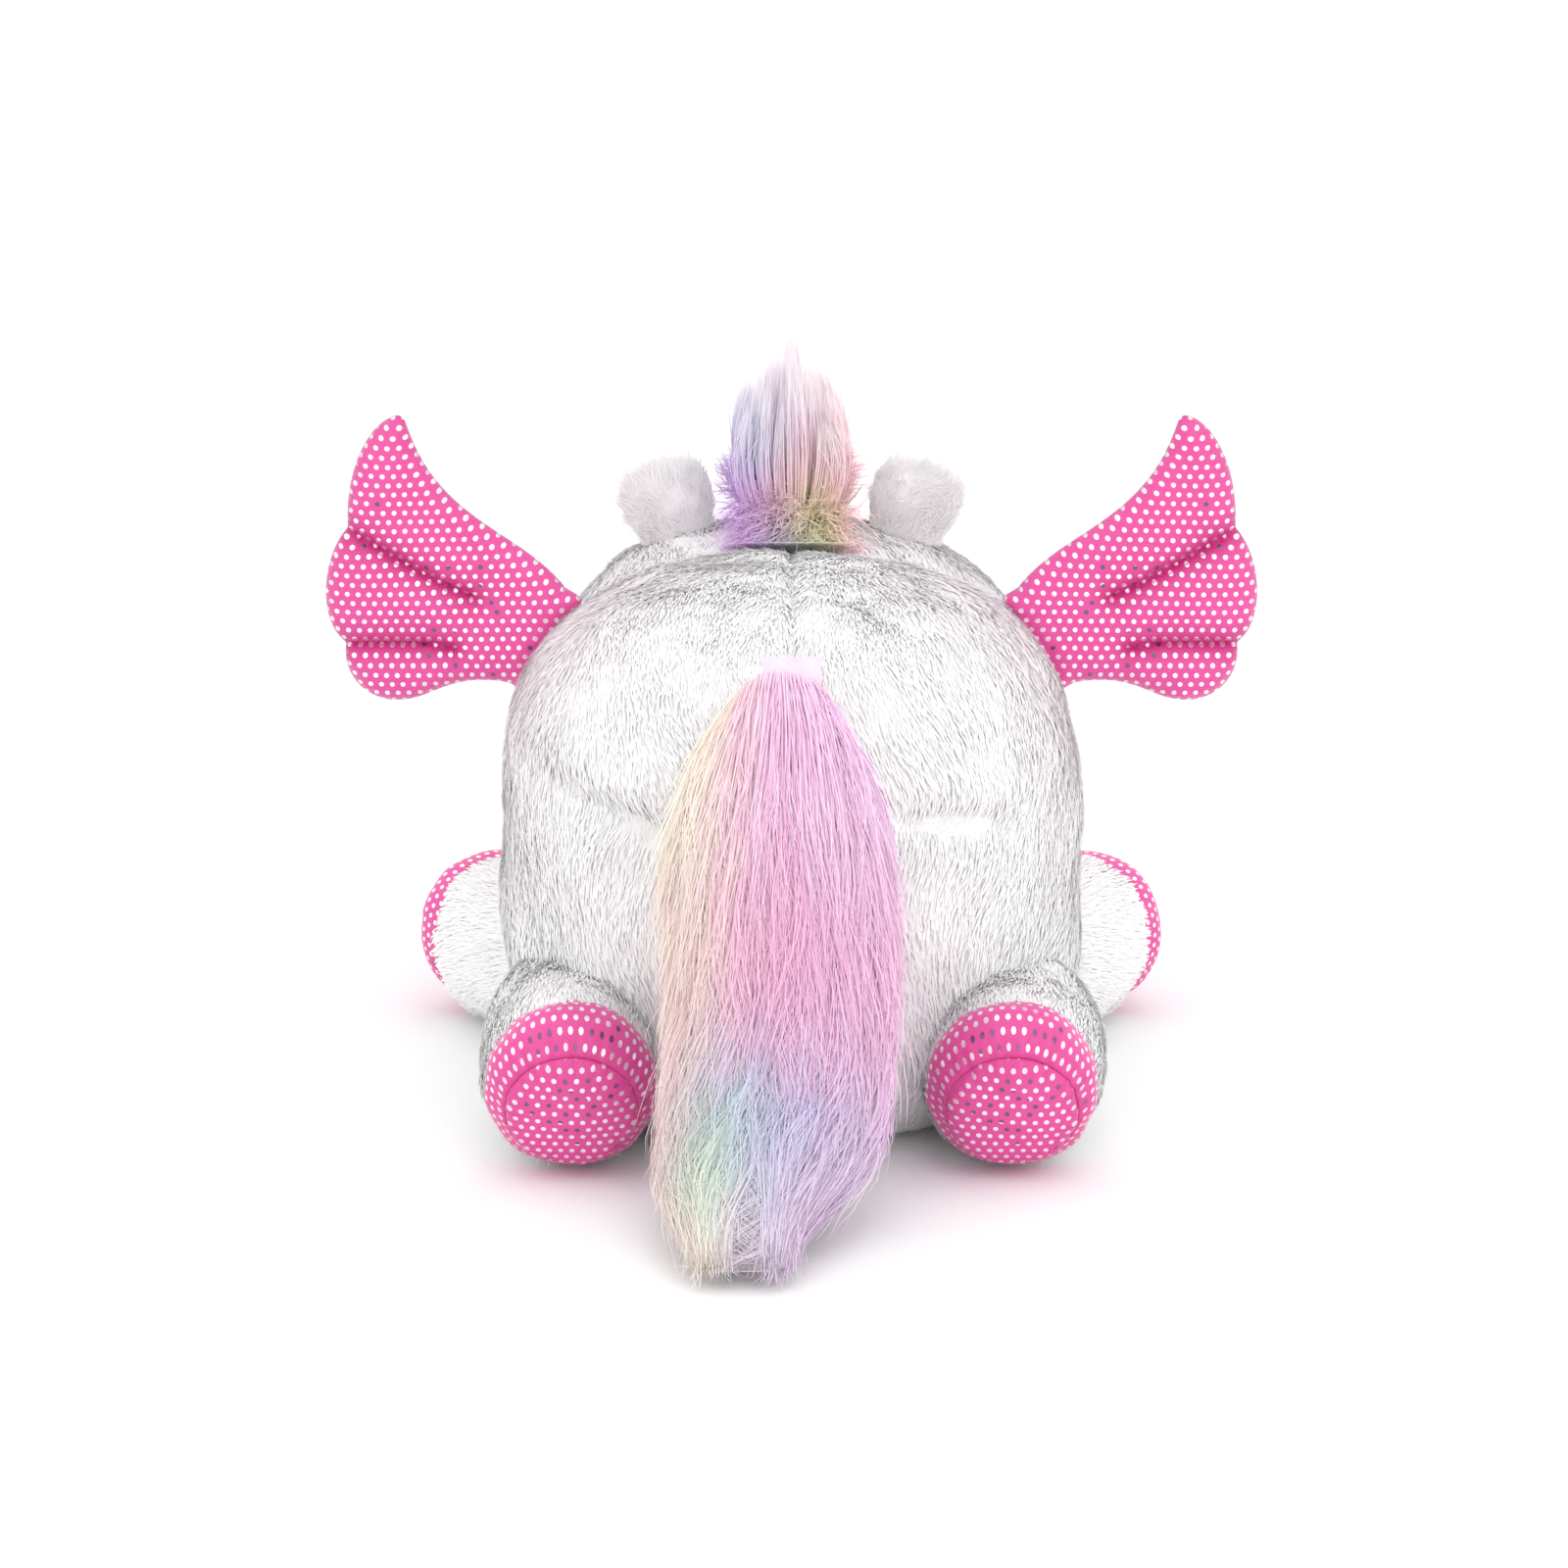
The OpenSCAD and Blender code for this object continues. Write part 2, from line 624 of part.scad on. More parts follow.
tail_tape_len = 26;
module tail_tape_slab(grow) {
    slope = atan2(tail_line[1][1] - tail_root[1], tail_line[1][0] - tail_root[0]);
    translate([0, tail_root[0], tail_root[1]]) rotate([slope, 0, 0])
        translate([-tape_half_w - grow, -2 * tape_t - grow, -tape_t / 2 - grow])
            cube([2 * (tape_half_w + grow), tail_tape_len + 2 * grow, tape_t + 2 * grow]);
}
module tail_tape() { color("#F6D5E6") at_body() tail_tape_slab(0); }
module tail_hair() {
    color("#F0A8D4") at_body() difference() {
        tube_between([for (i = [0:tail_steps]) tail_ring(i / tail_fine)]);
        tail_tape_slab(fill_gap);
    }
}

// ---- The right-hand pieces mirror the left-hand ones ----

module body_cover_right() { right() body_cover_left(); }
module head_cover_right() { right() head_cover_left(); }
module eye_right() { right() eye_left(); }
module eye_washer_right() { right() eye_washer_left(); }
module nostril_right() { right() nostril_left(); }
module ear_back_right() { right() ear_back_left(); }
module ear_lining_right() { right() ear_lining_left(); }
module wing_rear_cover_right() { right() wing_rear_cover_left(); }
module wing_front_cover_right() { right() wing_front_cover_left(); }
module wing_padding_right() { right() wing_padding_left(); }
module front_leg_cover_right() { right() front_leg_cover_left(); }
module front_leg_stuffing_right() { right() front_leg_stuffing_left(); }
module front_hoof_band_right() { right() front_hoof_band_left(); }
module front_hoof_sole_right() { right() front_hoof_sole_left(); }
module hind_leg_cover_right() { right() hind_leg_cover_left(); }
module hind_leg_stuffing_right() { right() hind_leg_stuffing_left(); }
module hind_hoof_band_right() { right() hind_hoof_band_left(); }
module hind_hoof_sole_right() { right() hind_hoof_sole_left(); }

body_cover_left();
body_cover_right();
belly_panel();
body_stuffing();
head_cover_left();
head_cover_right();
head_stuffing();
muzzle_cover();
muzzle_stuffing();
eye_left();
eye_right();
eye_washer_left();
eye_washer_right();
nostril_left();
nostril_right();
mouth_stitching();
horn_cover();
horn_stuffing();
horn_cord();
mane_tape();
mane_hair();
ear_back_left();
ear_back_right();
ear_lining_left();
ear_lining_right();
wing_rear_cover_left();
wing_rear_cover_right();
wing_front_cover_left();
wing_front_cover_right();
wing_padding_left();
wing_padding_right();
front_leg_cover_left();
front_leg_cover_right();
front_leg_stuffing_left();
front_leg_stuffing_right();
front_hoof_band_left();
front_hoof_band_right();
front_hoof_sole_left();
front_hoof_sole_right();
hind_leg_cover_left();
hind_leg_cover_right();
hind_leg_stuffing_left();
hind_leg_stuffing_right();
hind_hoof_band_left();
hind_hoof_band_right();
hind_hoof_sole_left();
hind_hoof_sole_right();
tail_tape();
tail_hair();
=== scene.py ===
"""Looks of a plush winged unicorn that lies on its belly.

Metres throughout. The toy faces -Y, its left side is +X, and its belly rests on the floor at z = 0.
"""

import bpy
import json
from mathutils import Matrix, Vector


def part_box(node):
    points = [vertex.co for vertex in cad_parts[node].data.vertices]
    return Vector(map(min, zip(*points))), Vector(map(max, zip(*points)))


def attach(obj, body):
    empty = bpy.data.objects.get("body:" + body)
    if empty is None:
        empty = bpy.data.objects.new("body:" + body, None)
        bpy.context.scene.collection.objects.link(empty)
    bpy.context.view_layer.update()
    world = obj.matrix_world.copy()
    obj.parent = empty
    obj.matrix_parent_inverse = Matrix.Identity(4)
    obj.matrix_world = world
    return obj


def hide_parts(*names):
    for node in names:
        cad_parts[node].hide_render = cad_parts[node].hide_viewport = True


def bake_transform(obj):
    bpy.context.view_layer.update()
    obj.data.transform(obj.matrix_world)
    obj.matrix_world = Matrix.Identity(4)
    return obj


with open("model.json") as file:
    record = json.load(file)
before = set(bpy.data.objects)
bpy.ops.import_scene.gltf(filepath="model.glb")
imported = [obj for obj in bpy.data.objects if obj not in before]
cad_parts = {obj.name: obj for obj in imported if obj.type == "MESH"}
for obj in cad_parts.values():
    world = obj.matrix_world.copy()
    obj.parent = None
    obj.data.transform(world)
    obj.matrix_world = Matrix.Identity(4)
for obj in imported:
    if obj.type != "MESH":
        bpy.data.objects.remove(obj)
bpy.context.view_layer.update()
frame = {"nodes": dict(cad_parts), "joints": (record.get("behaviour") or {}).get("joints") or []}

import json
import math

import bmesh
import bpy
import numpy as np
from mathutils import Vector, geometry

MM = 0.001
SIDES = (("left", 1), ("right", -1))
JOINT = {joint["name"]: joint for joint in frame["joints"]}


def joint_place(name):
    """Where a joint turns, as an array."""
    return np.array(JOINT[name]["pos_m"], float)


def box_middle(node):
    """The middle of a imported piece's box."""
    low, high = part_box(node)
    return (np.array(low) + np.array(high)) / 2


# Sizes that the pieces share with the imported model.
BODY_Y = float((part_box("belly_panel")[0][1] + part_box("belly_panel")[1][1]) / 2)
BODY_R = float(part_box("body_cover_left")[1][0])
BODY_H = float(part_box("body_cover_left")[1][2])
BODY_WIDE_Z = 0.088
BELLY_R = 0.078
BACK_POWER = 3.0
SIDE_POWER = 2.2
HEAD = joint_place("head_nod")
HEAD_R = 0.092
HEAD_HALF_W = float(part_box("head_cover_left")[1][0])
HEAD_POWER = 2.4
COVER_T = 0.002
FOIL_CLOTH_T = 0.0009
SATIN_T = 0.0009
EAR_CLOTH_T = 0.0014
WING_CLOTH_T = 0.0008
LEG_R = 0.034
HOOF_R = 0.032
HOOF_LEN = 0.024
SOLE_BULGE = 0.005
MUZZLE_R = 0.044
MUZZLE = HEAD + np.array([0, -0.067, -0.044])
PILE_LEN = 0.0062

# Tufts of pile in a square metre.
PLAIN_TUFTS = 8.0e5
FINE_TUFTS = 9.0e5
EAR_TUFTS = 1.3e6


# ---- Meshes ----

def smooth_mesh(name, points, faces, smooth=True):
    """A new mesh object with these points and faces, in place in the frame."""
    mesh = bpy.data.meshes.new(name)
    mesh.from_pydata([tuple(p) for p in points], [], faces)
    mesh.polygons.foreach_set("use_smooth", [smooth] * len(mesh.polygons))
    mesh.update()
    obj = bpy.data.objects.new(name, mesh)
    bpy.context.scene.collection.objects.link(obj)
    return obj


def strips_mesh(name, points, per_blade, faces_of_blade):
    """One mesh of many equal blades: points is (blades, per_blade, 3)."""
    count = len(points)
    mesh = bpy.data.meshes.new(name)
    mesh.vertices.add(count * per_blade)
    mesh.vertices.foreach_set("co", points.reshape(-1).astype(np.float32))
    sizes = np.array([len(f) for f in faces_of_blade])
    corners = np.concatenate([np.array(f) for f in faces_of_blade])
    loops = (corners[None, :] + per_blade * np.arange(count)[:, None]).reshape(-1)
    totals = np.tile(sizes, count)
    mesh.loops.add(len(loops))
    mesh.loops.foreach_set("vertex_index", loops.astype(np.int32))
    mesh.polygons.add(len(totals))
    starts = np.concatenate([[0], np.cumsum(totals)[:-1]])
    mesh.polygons.foreach_set("loop_start", starts.astype(np.int32))
    mesh.polygons.foreach_set("use_smooth", np.ones(len(totals), bool))
    mesh.update(calc_edges=True)
    obj = bpy.data.objects.new(name, mesh)
    bpy.context.scene.collection.objects.link(obj)
    return obj


def coords(obj):
    co = np.zeros(len(obj.data.vertices) * 3)
    obj.data.vertices.foreach_get("co", co)
    return co.reshape(-1, 3)


def set_coords(obj, co):
    obj.data.vertices.foreach_set("co", np.asarray(co, np.float32).reshape(-1))
    obj.data.update()


def normals(obj):
    out = np.zeros(len(obj.data.vertices) * 3)
    obj.data.vertices.foreach_get("normal", out)
    return out.reshape(-1, 3)


def loft_faces(rows, across, closed=False):
    """Quads between rows of points, each row holding the same number of points."""
    faces = []
    for r in range(rows - 1):
        for c in range(across if closed else across - 1):
            d = (c + 1) % across
            faces.append((r * across + c, r * across + d, (r + 1) * across + d, (r + 1) * across + c))
    return faces


def tidy_normals(obj, doubles=0.00005):
    """Merges doubled points and turns all faces outwards."""
    bm = bmesh.new()
    bm.from_mesh(obj.data)
    bmesh.ops.remove_doubles(bm, verts=bm.verts, dist=doubles)
    bmesh.ops.recalc_face_normals(bm, faces=bm.faces)
    bm.to_mesh(obj.data)
    bm.free()
    obj.data.update()
    return obj


def drop_points(obj, unwanted):
    """Takes away the marked points and the faces that used them."""
    bm = bmesh.new()
    bm.from_mesh(obj.data)
    bm.verts.ensure_lookup_table()
    gone = [bm.verts[i] for i in np.flatnonzero(unwanted)]
    bmesh.ops.delete(bm, geom=gone, context="VERTS")
    bm.to_mesh(obj.data)
    bm.free()
    obj.data.update()
    return obj


def copy_of(obj, name):
    twin = bpy.data.objects.new(name, obj.data.copy())
    bpy.context.scene.collection.objects.link(twin)
    return twin


def made_plain(obj):
    """Applies the modifiers by taking the evaluated mesh."""
    depsgraph = bpy.context.evaluated_depsgraph_get()
    mesh = bpy.data.meshes.new_from_object(obj.evaluated_get(depsgraph))
    obj.modifiers.clear()
    obj.data = mesh
    return obj


def with_wall(obj, thickness):
    """Gives a surface its cloth's thickness, inwards."""
    wall = obj.modifiers.new("Wall", "SOLIDIFY")
    wall.thickness = thickness
    wall.offset = -1
    return made_plain(obj)


def remeshed(obj, voxel):
    """One closed mesh of even faces."""
    even = obj.modifiers.new("Even", "REMESH")
    even.mode = "VOXEL"
    even.voxel_size = voxel
    return made_plain(obj)


def smoother(obj):
    """Rounds a mesh by one level of subdivision."""
    rounding = obj.modifiers.new("Rounding", "SUBSURF")
    rounding.levels = 1
    rounding.render_levels = 1
    return made_plain(obj)


def dress(obj, *materials):
    obj.data.materials.clear()
    for material in materials:
        obj.data.materials.append(material)
    return obj


def rest_on_floor(obj, room=0.0002):
    """Presses what would lie under the floor, or closer to it than room, flat against it."""
    co = coords(obj)
    co[:, 2] = np.maximum(co[:, 2], room)
    set_coords(obj, co)
    return obj


def mirrored(co):
    return np.asarray(co) * np.array([-1, 1, 1])


def lumps(p, size, seed=0.0):
    """Smooth unevenness between about -1 and 1, the same on every run, from a few waves."""
    rng = np.random.default_rng(int(seed * 1000) + 17)
    total = np.zeros(len(p))
    for _ in range(9):
        way = rng.normal(size=3)
        way /= np.linalg.norm(way)
        total += np.sin(p @ way / size * 2 * math.pi * rng.uniform(0.6, 1.5) + rng.uniform(0, 6.3))
    return total / 4.2


def unit_rows(v):
    return v / np.maximum(np.linalg.norm(v, axis=-1, keepdims=True), 1e-9)


def ease(t):
    t = np.clip(t, 0, 1)
    return t * t * (3 - 2 * t)


def bell(x, width):
    return np.exp(-0.5 * (x / width) ** 2)


# ---- Materials ----

class Nodes:
    """A material's nodes, made and joined in few words."""

    def __init__(self, name):
        self.material = bpy.data.materials.new(name)
        self.material.use_nodes = True
        self.tree = self.material.node_tree
        self.shader = self.tree.nodes["Principled BSDF"]

    def add(self, kind, **settings):
        node = self.tree.nodes.new("ShaderNode" + kind)
        for key, value in settings.items():
            setattr(node, key, value)
        return node

    def put(self, socket, value):
        if isinstance(value, bpy.types.NodeSocket):
            self.tree.links.new(value, socket)
        elif value is not None:
            socket.default_value = value

    def math(self, operation, a, b=None, c=None):
        node = self.add("Math", operation=operation)
        for socket, value in zip(node.inputs, (a, b, c)):
            self.put(socket, value)
        return node.outputs[0]

    def vector(self, operation, a, b=None, scale=None):
        node = self.add("VectorMath", operation=operation)
        self.put(node.inputs[0], a)
        self.put(node.inputs[1], b)
        if scale is not None:
            self.put(node.inputs["Scale"], scale)
        return node.outputs["Value" if operation in ("LENGTH", "DISTANCE", "DOT_PRODUCT") else "Vector"]

    def noise(self, scale, detail=2.0, vector=None, output="Fac", distortion=0.0):
        node = self.add("TexNoise")
        node.inputs["Scale"].default_value = scale
        node.inputs["Detail"].default_value = detail
        node.inputs["Distortion"].default_value = distortion
        self.put(node.inputs["Vector"], self.place() if vector is None else vector)
        return node.outputs[output]

    def place(self):
        return self.add("TexCoord").outputs["Object"]

    def attribute(self, name, output="Fac"):
        return self.add("Attribute", attribute_name=name).outputs[output]

    def ramp(self, fac, *stops):
        node = self.add("ValToRGB")
        self.put(node.inputs["Fac"], fac)
        points = node.color_ramp.elements
        while len(points) < len(stops):
            points.new(0.5)
        for point, (position, colour) in zip(points, stops):
            point.position = position
            point.color = (*colour, 1)
        return node.outputs["Color"]

    def mix(self, fac, a, b, blend="MIX"):
        node = self.add("Mix", data_type="RGBA", blend_type=blend)
        self.put(node.inputs[0], fac)
        for socket, value in ((node.inputs[6], a), (node.inputs[7], b)):
            self.put(socket, (*value, 1) if isinstance(value, tuple) else value)
        return node.outputs[2]

    def spread(self, fac, low, high):
        """A 0 to 1 value turned into low to high."""
        node = self.add("MapRange")
        self.put(node.inputs["Value"], fac)
        node.inputs["To Min"].default_value = low
        node.inputs["To Max"].default_value = high
        return node.outputs["Result"]

    def bump(self, height, strength, distance, normal=None):
        node = self.add("Bump")
        node.inputs["Strength"].default_value = strength
        node.inputs["Distance"].default_value = distance
        self.put(node.inputs["Height"], height)
        self.put(node.inputs["Normal"], normal)
        return node.outputs["Normal"]

    def finish(self, **sockets):
        for key, value in sockets.items():
            socket = self.shader.inputs[key.replace("_", " ")]
            self.put(socket, (*value, 1) if isinstance(value, tuple) and len(value) == 3 else value)
        return self.material


def white_pile_material():
    m = Nodes("white_pile")
    tone = m.ramp(m.noise(28, 3), (0.3, (0.955, 0.945, 0.95)), (0.7, (0.985, 0.98, 0.98)))
    streak = m.mix(m.spread(m.noise(420, 2), 0.0, 0.35), tone, (0.995, 0.99, 0.99))
    # Painted reflected light: the pile is tinted pink near the wings, as light bounced off them would tint
    # it.
    blush = m.mix(m.attribute("blush"), streak, (0.97, 0.83, 0.90))
    # Painted shade: every blade is a little greyer at its root, deep in the pile where shade falls.
    tip = m.mix(m.attribute("along"), m.mix(0.25, blush, (0.93, 0.91, 0.93)), blush)
    return m.finish(Base_Color=tip, Roughness=m.spread(m.noise(90), 0.72, 0.9),
                    Sheen_Weight=0.75, Sheen_Roughness=0.5, Specular_IOR_Level=0.2)


def plush_backing_material():
    m = Nodes("plush_backing")
    knit = m.noise(1500, 1)
    tone = m.ramp(m.noise(40, 3), (0.3, (0.93, 0.92, 0.925)), (0.7, (0.97, 0.96, 0.965)))
    return m.finish(Base_Color=m.mix(m.spread(knit, 0, 0.3), tone, (0.98, 0.975, 0.975)),
                    Roughness=m.spread(knit, 0.8, 0.95), Specular_IOR_Level=0.2,
                    Normal=m.bump(knit, 0.5, 0.0006))


def fibre_material():
    m = Nodes("fibre_filling")
    strands = m.noise(260, 4, distortion=2.0)
    tone = m.ramp(strands, (0.3, (0.86, 0.86, 0.85)), (0.7, (0.97, 0.97, 0.96)))
    return m.finish(Base_Color=tone, Roughness=m.spread(strands, 0.85, 1.0),
                    Specular_IOR_Level=0.15, Normal=m.bump(strands, 0.7, 0.0012))


def dot_mask(m, uv, pitch, radius, soft):
    """1 inside the foil dots of a staggered grid and 0 between them, and a random value for each dot."""
    row = pitch * math.sqrt(3)
    nearest = None
    chance = None
    for shift in (0.0, 0.5):
        cell = m.vector("ADD", m.vector("DIVIDE", uv, (pitch, row, 1)), (shift, shift, 0))
        inner = m.vector("SUBTRACT", m.vector("FRACTION", cell), (0.5, 0.5, 0))
        flat = m.vector("MULTIPLY", inner, (pitch, row, 0))
        far = m.vector("LENGTH", flat)
        grain = m.add("TexWhiteNoise", noise_dimensions="2D")
        m.put(grain.inputs["Vector"], m.vector("ADD", m.vector("FLOOR", cell), (shift * 31, 7, 0)))
        if nearest is None:
            nearest, chance = far, grain.outputs["Value"]
        else:
            closer = m.math("LESS_THAN", far, nearest)
            chance = m.math("ADD", m.math("MULTIPLY", closer, grain.outputs["Value"]),
                            m.math("MULTIPLY", m.math("SUBTRACT", 1.0, closer), chance))
            nearest = m.math("MINIMUM", nearest, far)
    edge = m.math("DIVIDE", m.math("SUBTRACT", radius, nearest), soft)
    return m.math("MINIMUM", m.math("MAXIMUM", edge, 0.0), 1.0), chance


def foil_dot_material(name, cloth, deep):
    """Pink satin knit printed with small mirror-foil dots in staggered rows."""
    m = Nodes(name)
    uv = m.add("UVMap", uv_map="cloth").outputs["UV"]
    dot, chance = dot_mask(m, uv, 0.0042, 0.00104, 0.00016)
    fold = m.attribute("fold")
    knit = m.noise(1800, 1, uv)
    ground = m.mix(m.spread(m.noise(45, 3), 0.0, 0.5), cloth, deep)
    # Painted shade: the pink deepens along seams and wrinkles, where shade falls.
    ground = m.mix(m.math("MULTIPLY", fold, 0.95), ground, deep)
    # Painted reflection: a few foil dots everywhere, and more where the glint attribute is high, are coloured
    # dark as if mirroring something dark.
    dark = m.math("LESS_THAN", chance, m.math("ADD", 0.015, m.math("MULTIPLY", m.attribute("glint"), 0.55)))
    foil = m.mix(m.spread(chance, 0.0, 0.35), (0.98, 0.95, 0.98), (0.93, 0.78, 0.90))
    foil = m.mix(dark, foil, (0.20, 0.12, 0.22))
    dull = m.math("SUBTRACT", 1.0, m.math("MULTIPLY", m.attribute("worn"), 0.6))
    shine = m.math("MULTIPLY", dot, dull)
    raised = m.math("ADD", m.math("MULTIPLY", dot, 0.6), m.math("MULTIPLY", knit, 0.35))
    return m.finish(Base_Color=m.mix(shine, ground, foil), Metallic=m.math("MULTIPLY", shine, 0.9),
                    Roughness=m.math("SUBTRACT", m.spread(knit, 0.42, 0.6), m.math("MULTIPLY", shine, 0.28)),
                    Sheen_Weight=0.3, Sheen_Roughness=0.35, Normal=m.bump(raised, 0.35, 0.0002))


def dyed_pile_material():
    m = Nodes("dyed_pile")
    tint = m.attribute("tint", "Color")
    streak = m.mix(m.spread(m.noise(350, 2), 0.0, 0.25), tint, (0.99, 0.97, 0.98))
    return m.finish(Base_Color=streak, Roughness=m.spread(m.noise(120), 0.38, 0.55),
                    Sheen_Weight=0.5, Sheen_Roughness=0.45, Specular_IOR_Level=0.35)


def soft_lining_material():
    m = Nodes("ear_lining")
    nap = m.noise(700, 3)
    tone = m.ramp(m.noise(60, 2), (0.3, (0.93, 0.62, 0.75)), (0.7, (0.97, 0.72, 0.82)))
    return m.finish(Base_Color=m.mix(m.spread(nap, 0, 0.25), tone, (0.99, 0.86, 0.91)),
                    Roughness=m.spread(nap, 0.7, 0.9), Sheen_Weight=0.5, Sheen_Roughness=0.4,
                    Normal=m.bump(nap, 0.4, 0.0005))


def satin_material():
    m = Nodes("horn_satin")
    weave = m.add("TexWave", wave_type="BANDS", bands_direction="DIAGONAL")
    weave.inputs["Scale"].default_value = 900
    m.put(weave.inputs["Vector"], m.place())
    tone = m.ramp(m.noise(70, 2), (0.3, (0.86, 0.52, 0.70)), (0.7, (0.95, 0.68, 0.82)))
    return m.finish(Base_Color=m.mix(m.spread(weave.outputs["Fac"], 0, 0.2), tone, (1.0, 0.86, 0.93)),
                    Roughness=m.spread(weave.outputs["Fac"], 0.25, 0.4), Sheen_Weight=0.3,
                    Normal=m.bump(weave.outputs["Fac"], 0.25, 0.0002))


def thread_material(name, low, high, metallic=0.0):
    """Twisted thread: its plies run round it, as its UV map says."""
    m = Nodes(name)
    ply = m.add("TexWave", wave_type="BANDS", bands_direction="DIAGONAL")
    ply.inputs["Scale"].default_value = 420
    m.put(ply.inputs["Vector"], m.place())
    tone = m.ramp(ply.outputs["Fac"], (0.2, low), (0.8, high))
    return m.finish(Base_Color=tone, Metallic=metallic, Roughness=m.spread(ply.outputs["Fac"], 0.3, 0.5),
                    Normal=m.bump(ply.outputs["Fac"], 0.6, 0.0003))


def tape_material():
    m = Nodes("woven_tape")
    rib = m.add("TexWave", wave_type="BANDS", bands_direction="X")
    rib.inputs["Scale"].default_value = 330
    m.put(rib.inputs["Vector"], m.place())
    tone = m.ramp(m.noise(150, 2), (0.3, (0.90, 0.66, 0.80)), (0.7, (0.96, 0.78, 0.88)))
    return m.finish(Base_Color=m.mix(m.spread(rib.outputs["Fac"], 0, 0.3), tone, (1, 0.9, 0.95)),
                    Roughness=m.spread(rib.outputs["Fac"], 0.6, 0.8),
                    Normal=m.bump(rib.outputs["Fac"], 0.5, 0.0004))


def eye_material():
    m = Nodes("eye_plastic")
    deep = m.ramp(m.noise(120, 2), (0.35, (0.012, 0.006, 0.012)), (0.75, (0.05, 0.02, 0.05)))
    smear = m.noise(200, 3)
    return m.finish(Base_Color=deep, Roughness=m.spread(smear, 0.04, 0.1), Coat_Weight=0.15,
                    Coat_Roughness=0.03, Specular_IOR_Level=0.35)


def washer_material():
    m = Nodes("washer_plastic")
    grain = m.noise(500, 3)
    tone = m.ramp(grain, (0.3, (0.78, 0.78, 0.76)), (0.7, (0.86, 0.86, 0.84)))
    return m.finish(Base_Color=tone, Roughness=m.spread(grain, 0.35, 0.55), Normal=m.bump(grain, 0.2, 0.0001))


def floor_material():
    m = Nodes("studio_floor")
    tone = m.ramp(m.noise(3, 1), (0.0, (0.93, 0.93, 0.93)), (1.0, (0.945, 0.945, 0.945)))
    return m.finish(Base_Color=tone, Roughness=m.spread(m.noise(5), 0.85, 0.95), Specular_IOR_Level=0.1)


WHITE_PILE = white_pile_material()
BACKING = plush_backing_material()
FIBRE = fibre_material()
FOIL_DOTS = foil_dot_material("foil_dot_cloth", (0.83, 0.095, 0.38), (0.56, 0.02, 0.20))
DYED_PILE = dyed_pile_material()
LINING = soft_lining_material()
SATIN = satin_material()
HORN_CORD = thread_material("horn_cord", (0.75, 0.58, 0.28), (0.98, 0.90, 0.62), metallic=0.6)
PINK_THREAD = thread_material("pink_thread", (0.55, 0.05, 0.24), (0.90, 0.22, 0.52))
TAPE = tape_material()
EYE = eye_material()
WASHER = washer_material()


# ---- Outlines of the covers ----

def body_radius(z):
    """The body's radius at height z."""
    share_up = np.clip((z - BODY_WIDE_Z) / (BODY_H - BODY_WIDE_Z), 0, 1)
    up = BODY_R * (1 - share_up ** BACK_POWER) ** (1 / BACK_POWER)
    share_down = np.clip((BODY_WIDE_Z - z) / BODY_WIDE_Z, 0, 1)
    down = BELLY_R + (BODY_R - BELLY_R) * (1 - share_down ** SIDE_POWER) ** (1 / SIDE_POWER)
    return np.where(z >= BODY_WIDE_Z, up, down)


def body_outline(steps):
    """Points (radius, height) from the rim of the belly panel up to the middle of the back."""
    points = []
    for k in range(steps):
        a = math.pi / 2 * k / steps
        points.append((BELLY_R + (BODY_R - BELLY_R) * math.sin(a) ** (2 / SIDE_POWER),
                       BODY_WIDE_Z * (1 - math.cos(a) ** (2 / SIDE_POWER))))
    for k in range(steps + 1):
        a = math.pi / 2 * k / steps
        points.append((BODY_R * max(0.0, math.cos(a)) ** (2 / BACK_POWER),
                       BODY_WIDE_Z + (BODY_H - BODY_WIDE_Z) * math.sin(a) ** (2 / BACK_POWER)))
    return even_steps(points, 2 * steps)


def even_steps(points, count):
    """The same polyline with points at equal distances."""
    points = np.array(points, float)
    run = np.concatenate([[0], np.cumsum(np.linalg.norm(np.diff(points, axis=0), axis=1))])
    marks = np.linspace(0, run[-1], count)
    return np.stack([np.interp(marks, run, points[:, k]) for k in range(points.shape[1])], axis=1)


def head_size(p):
    """1 on the head's surface, less inside it."""
    q = np.asarray(p) - HEAD
    return ((np.abs(q[:, 0]) / HEAD_HALF_W) ** HEAD_POWER
            + (np.hypot(q[:, 1], q[:, 2]) / HEAD_R) ** HEAD_POWER) ** (1 / HEAD_POWER)


def body_depth(p):
    """How far a point lies inside the body's outline, seen from its axis. Negative outside it."""
    return body_radius(p[:, 2]) - np.hypot(p[:, 0], p[:, 1] - BODY_Y)


def leg_frame(end, side):
    """A leg's pivot, the way it points, its side and its length."""
    pivot = joint_place(f"{end}_leg_swing_{side}")
    way = box_middle(f"{end}_hoof_band_{side}") - pivot
    way[2] = 0
    length = np.linalg.norm(way) + HOOF_LEN / 2
    way /= np.linalg.norm(way)
    return pivot, way, np.array([-way[1], way[0], 0.0]), length


LEGS = {(end, side): leg_frame(end, side) for end in ("front", "hind") for side, _ in SIDES}


# ---- Covers of the body and head ----

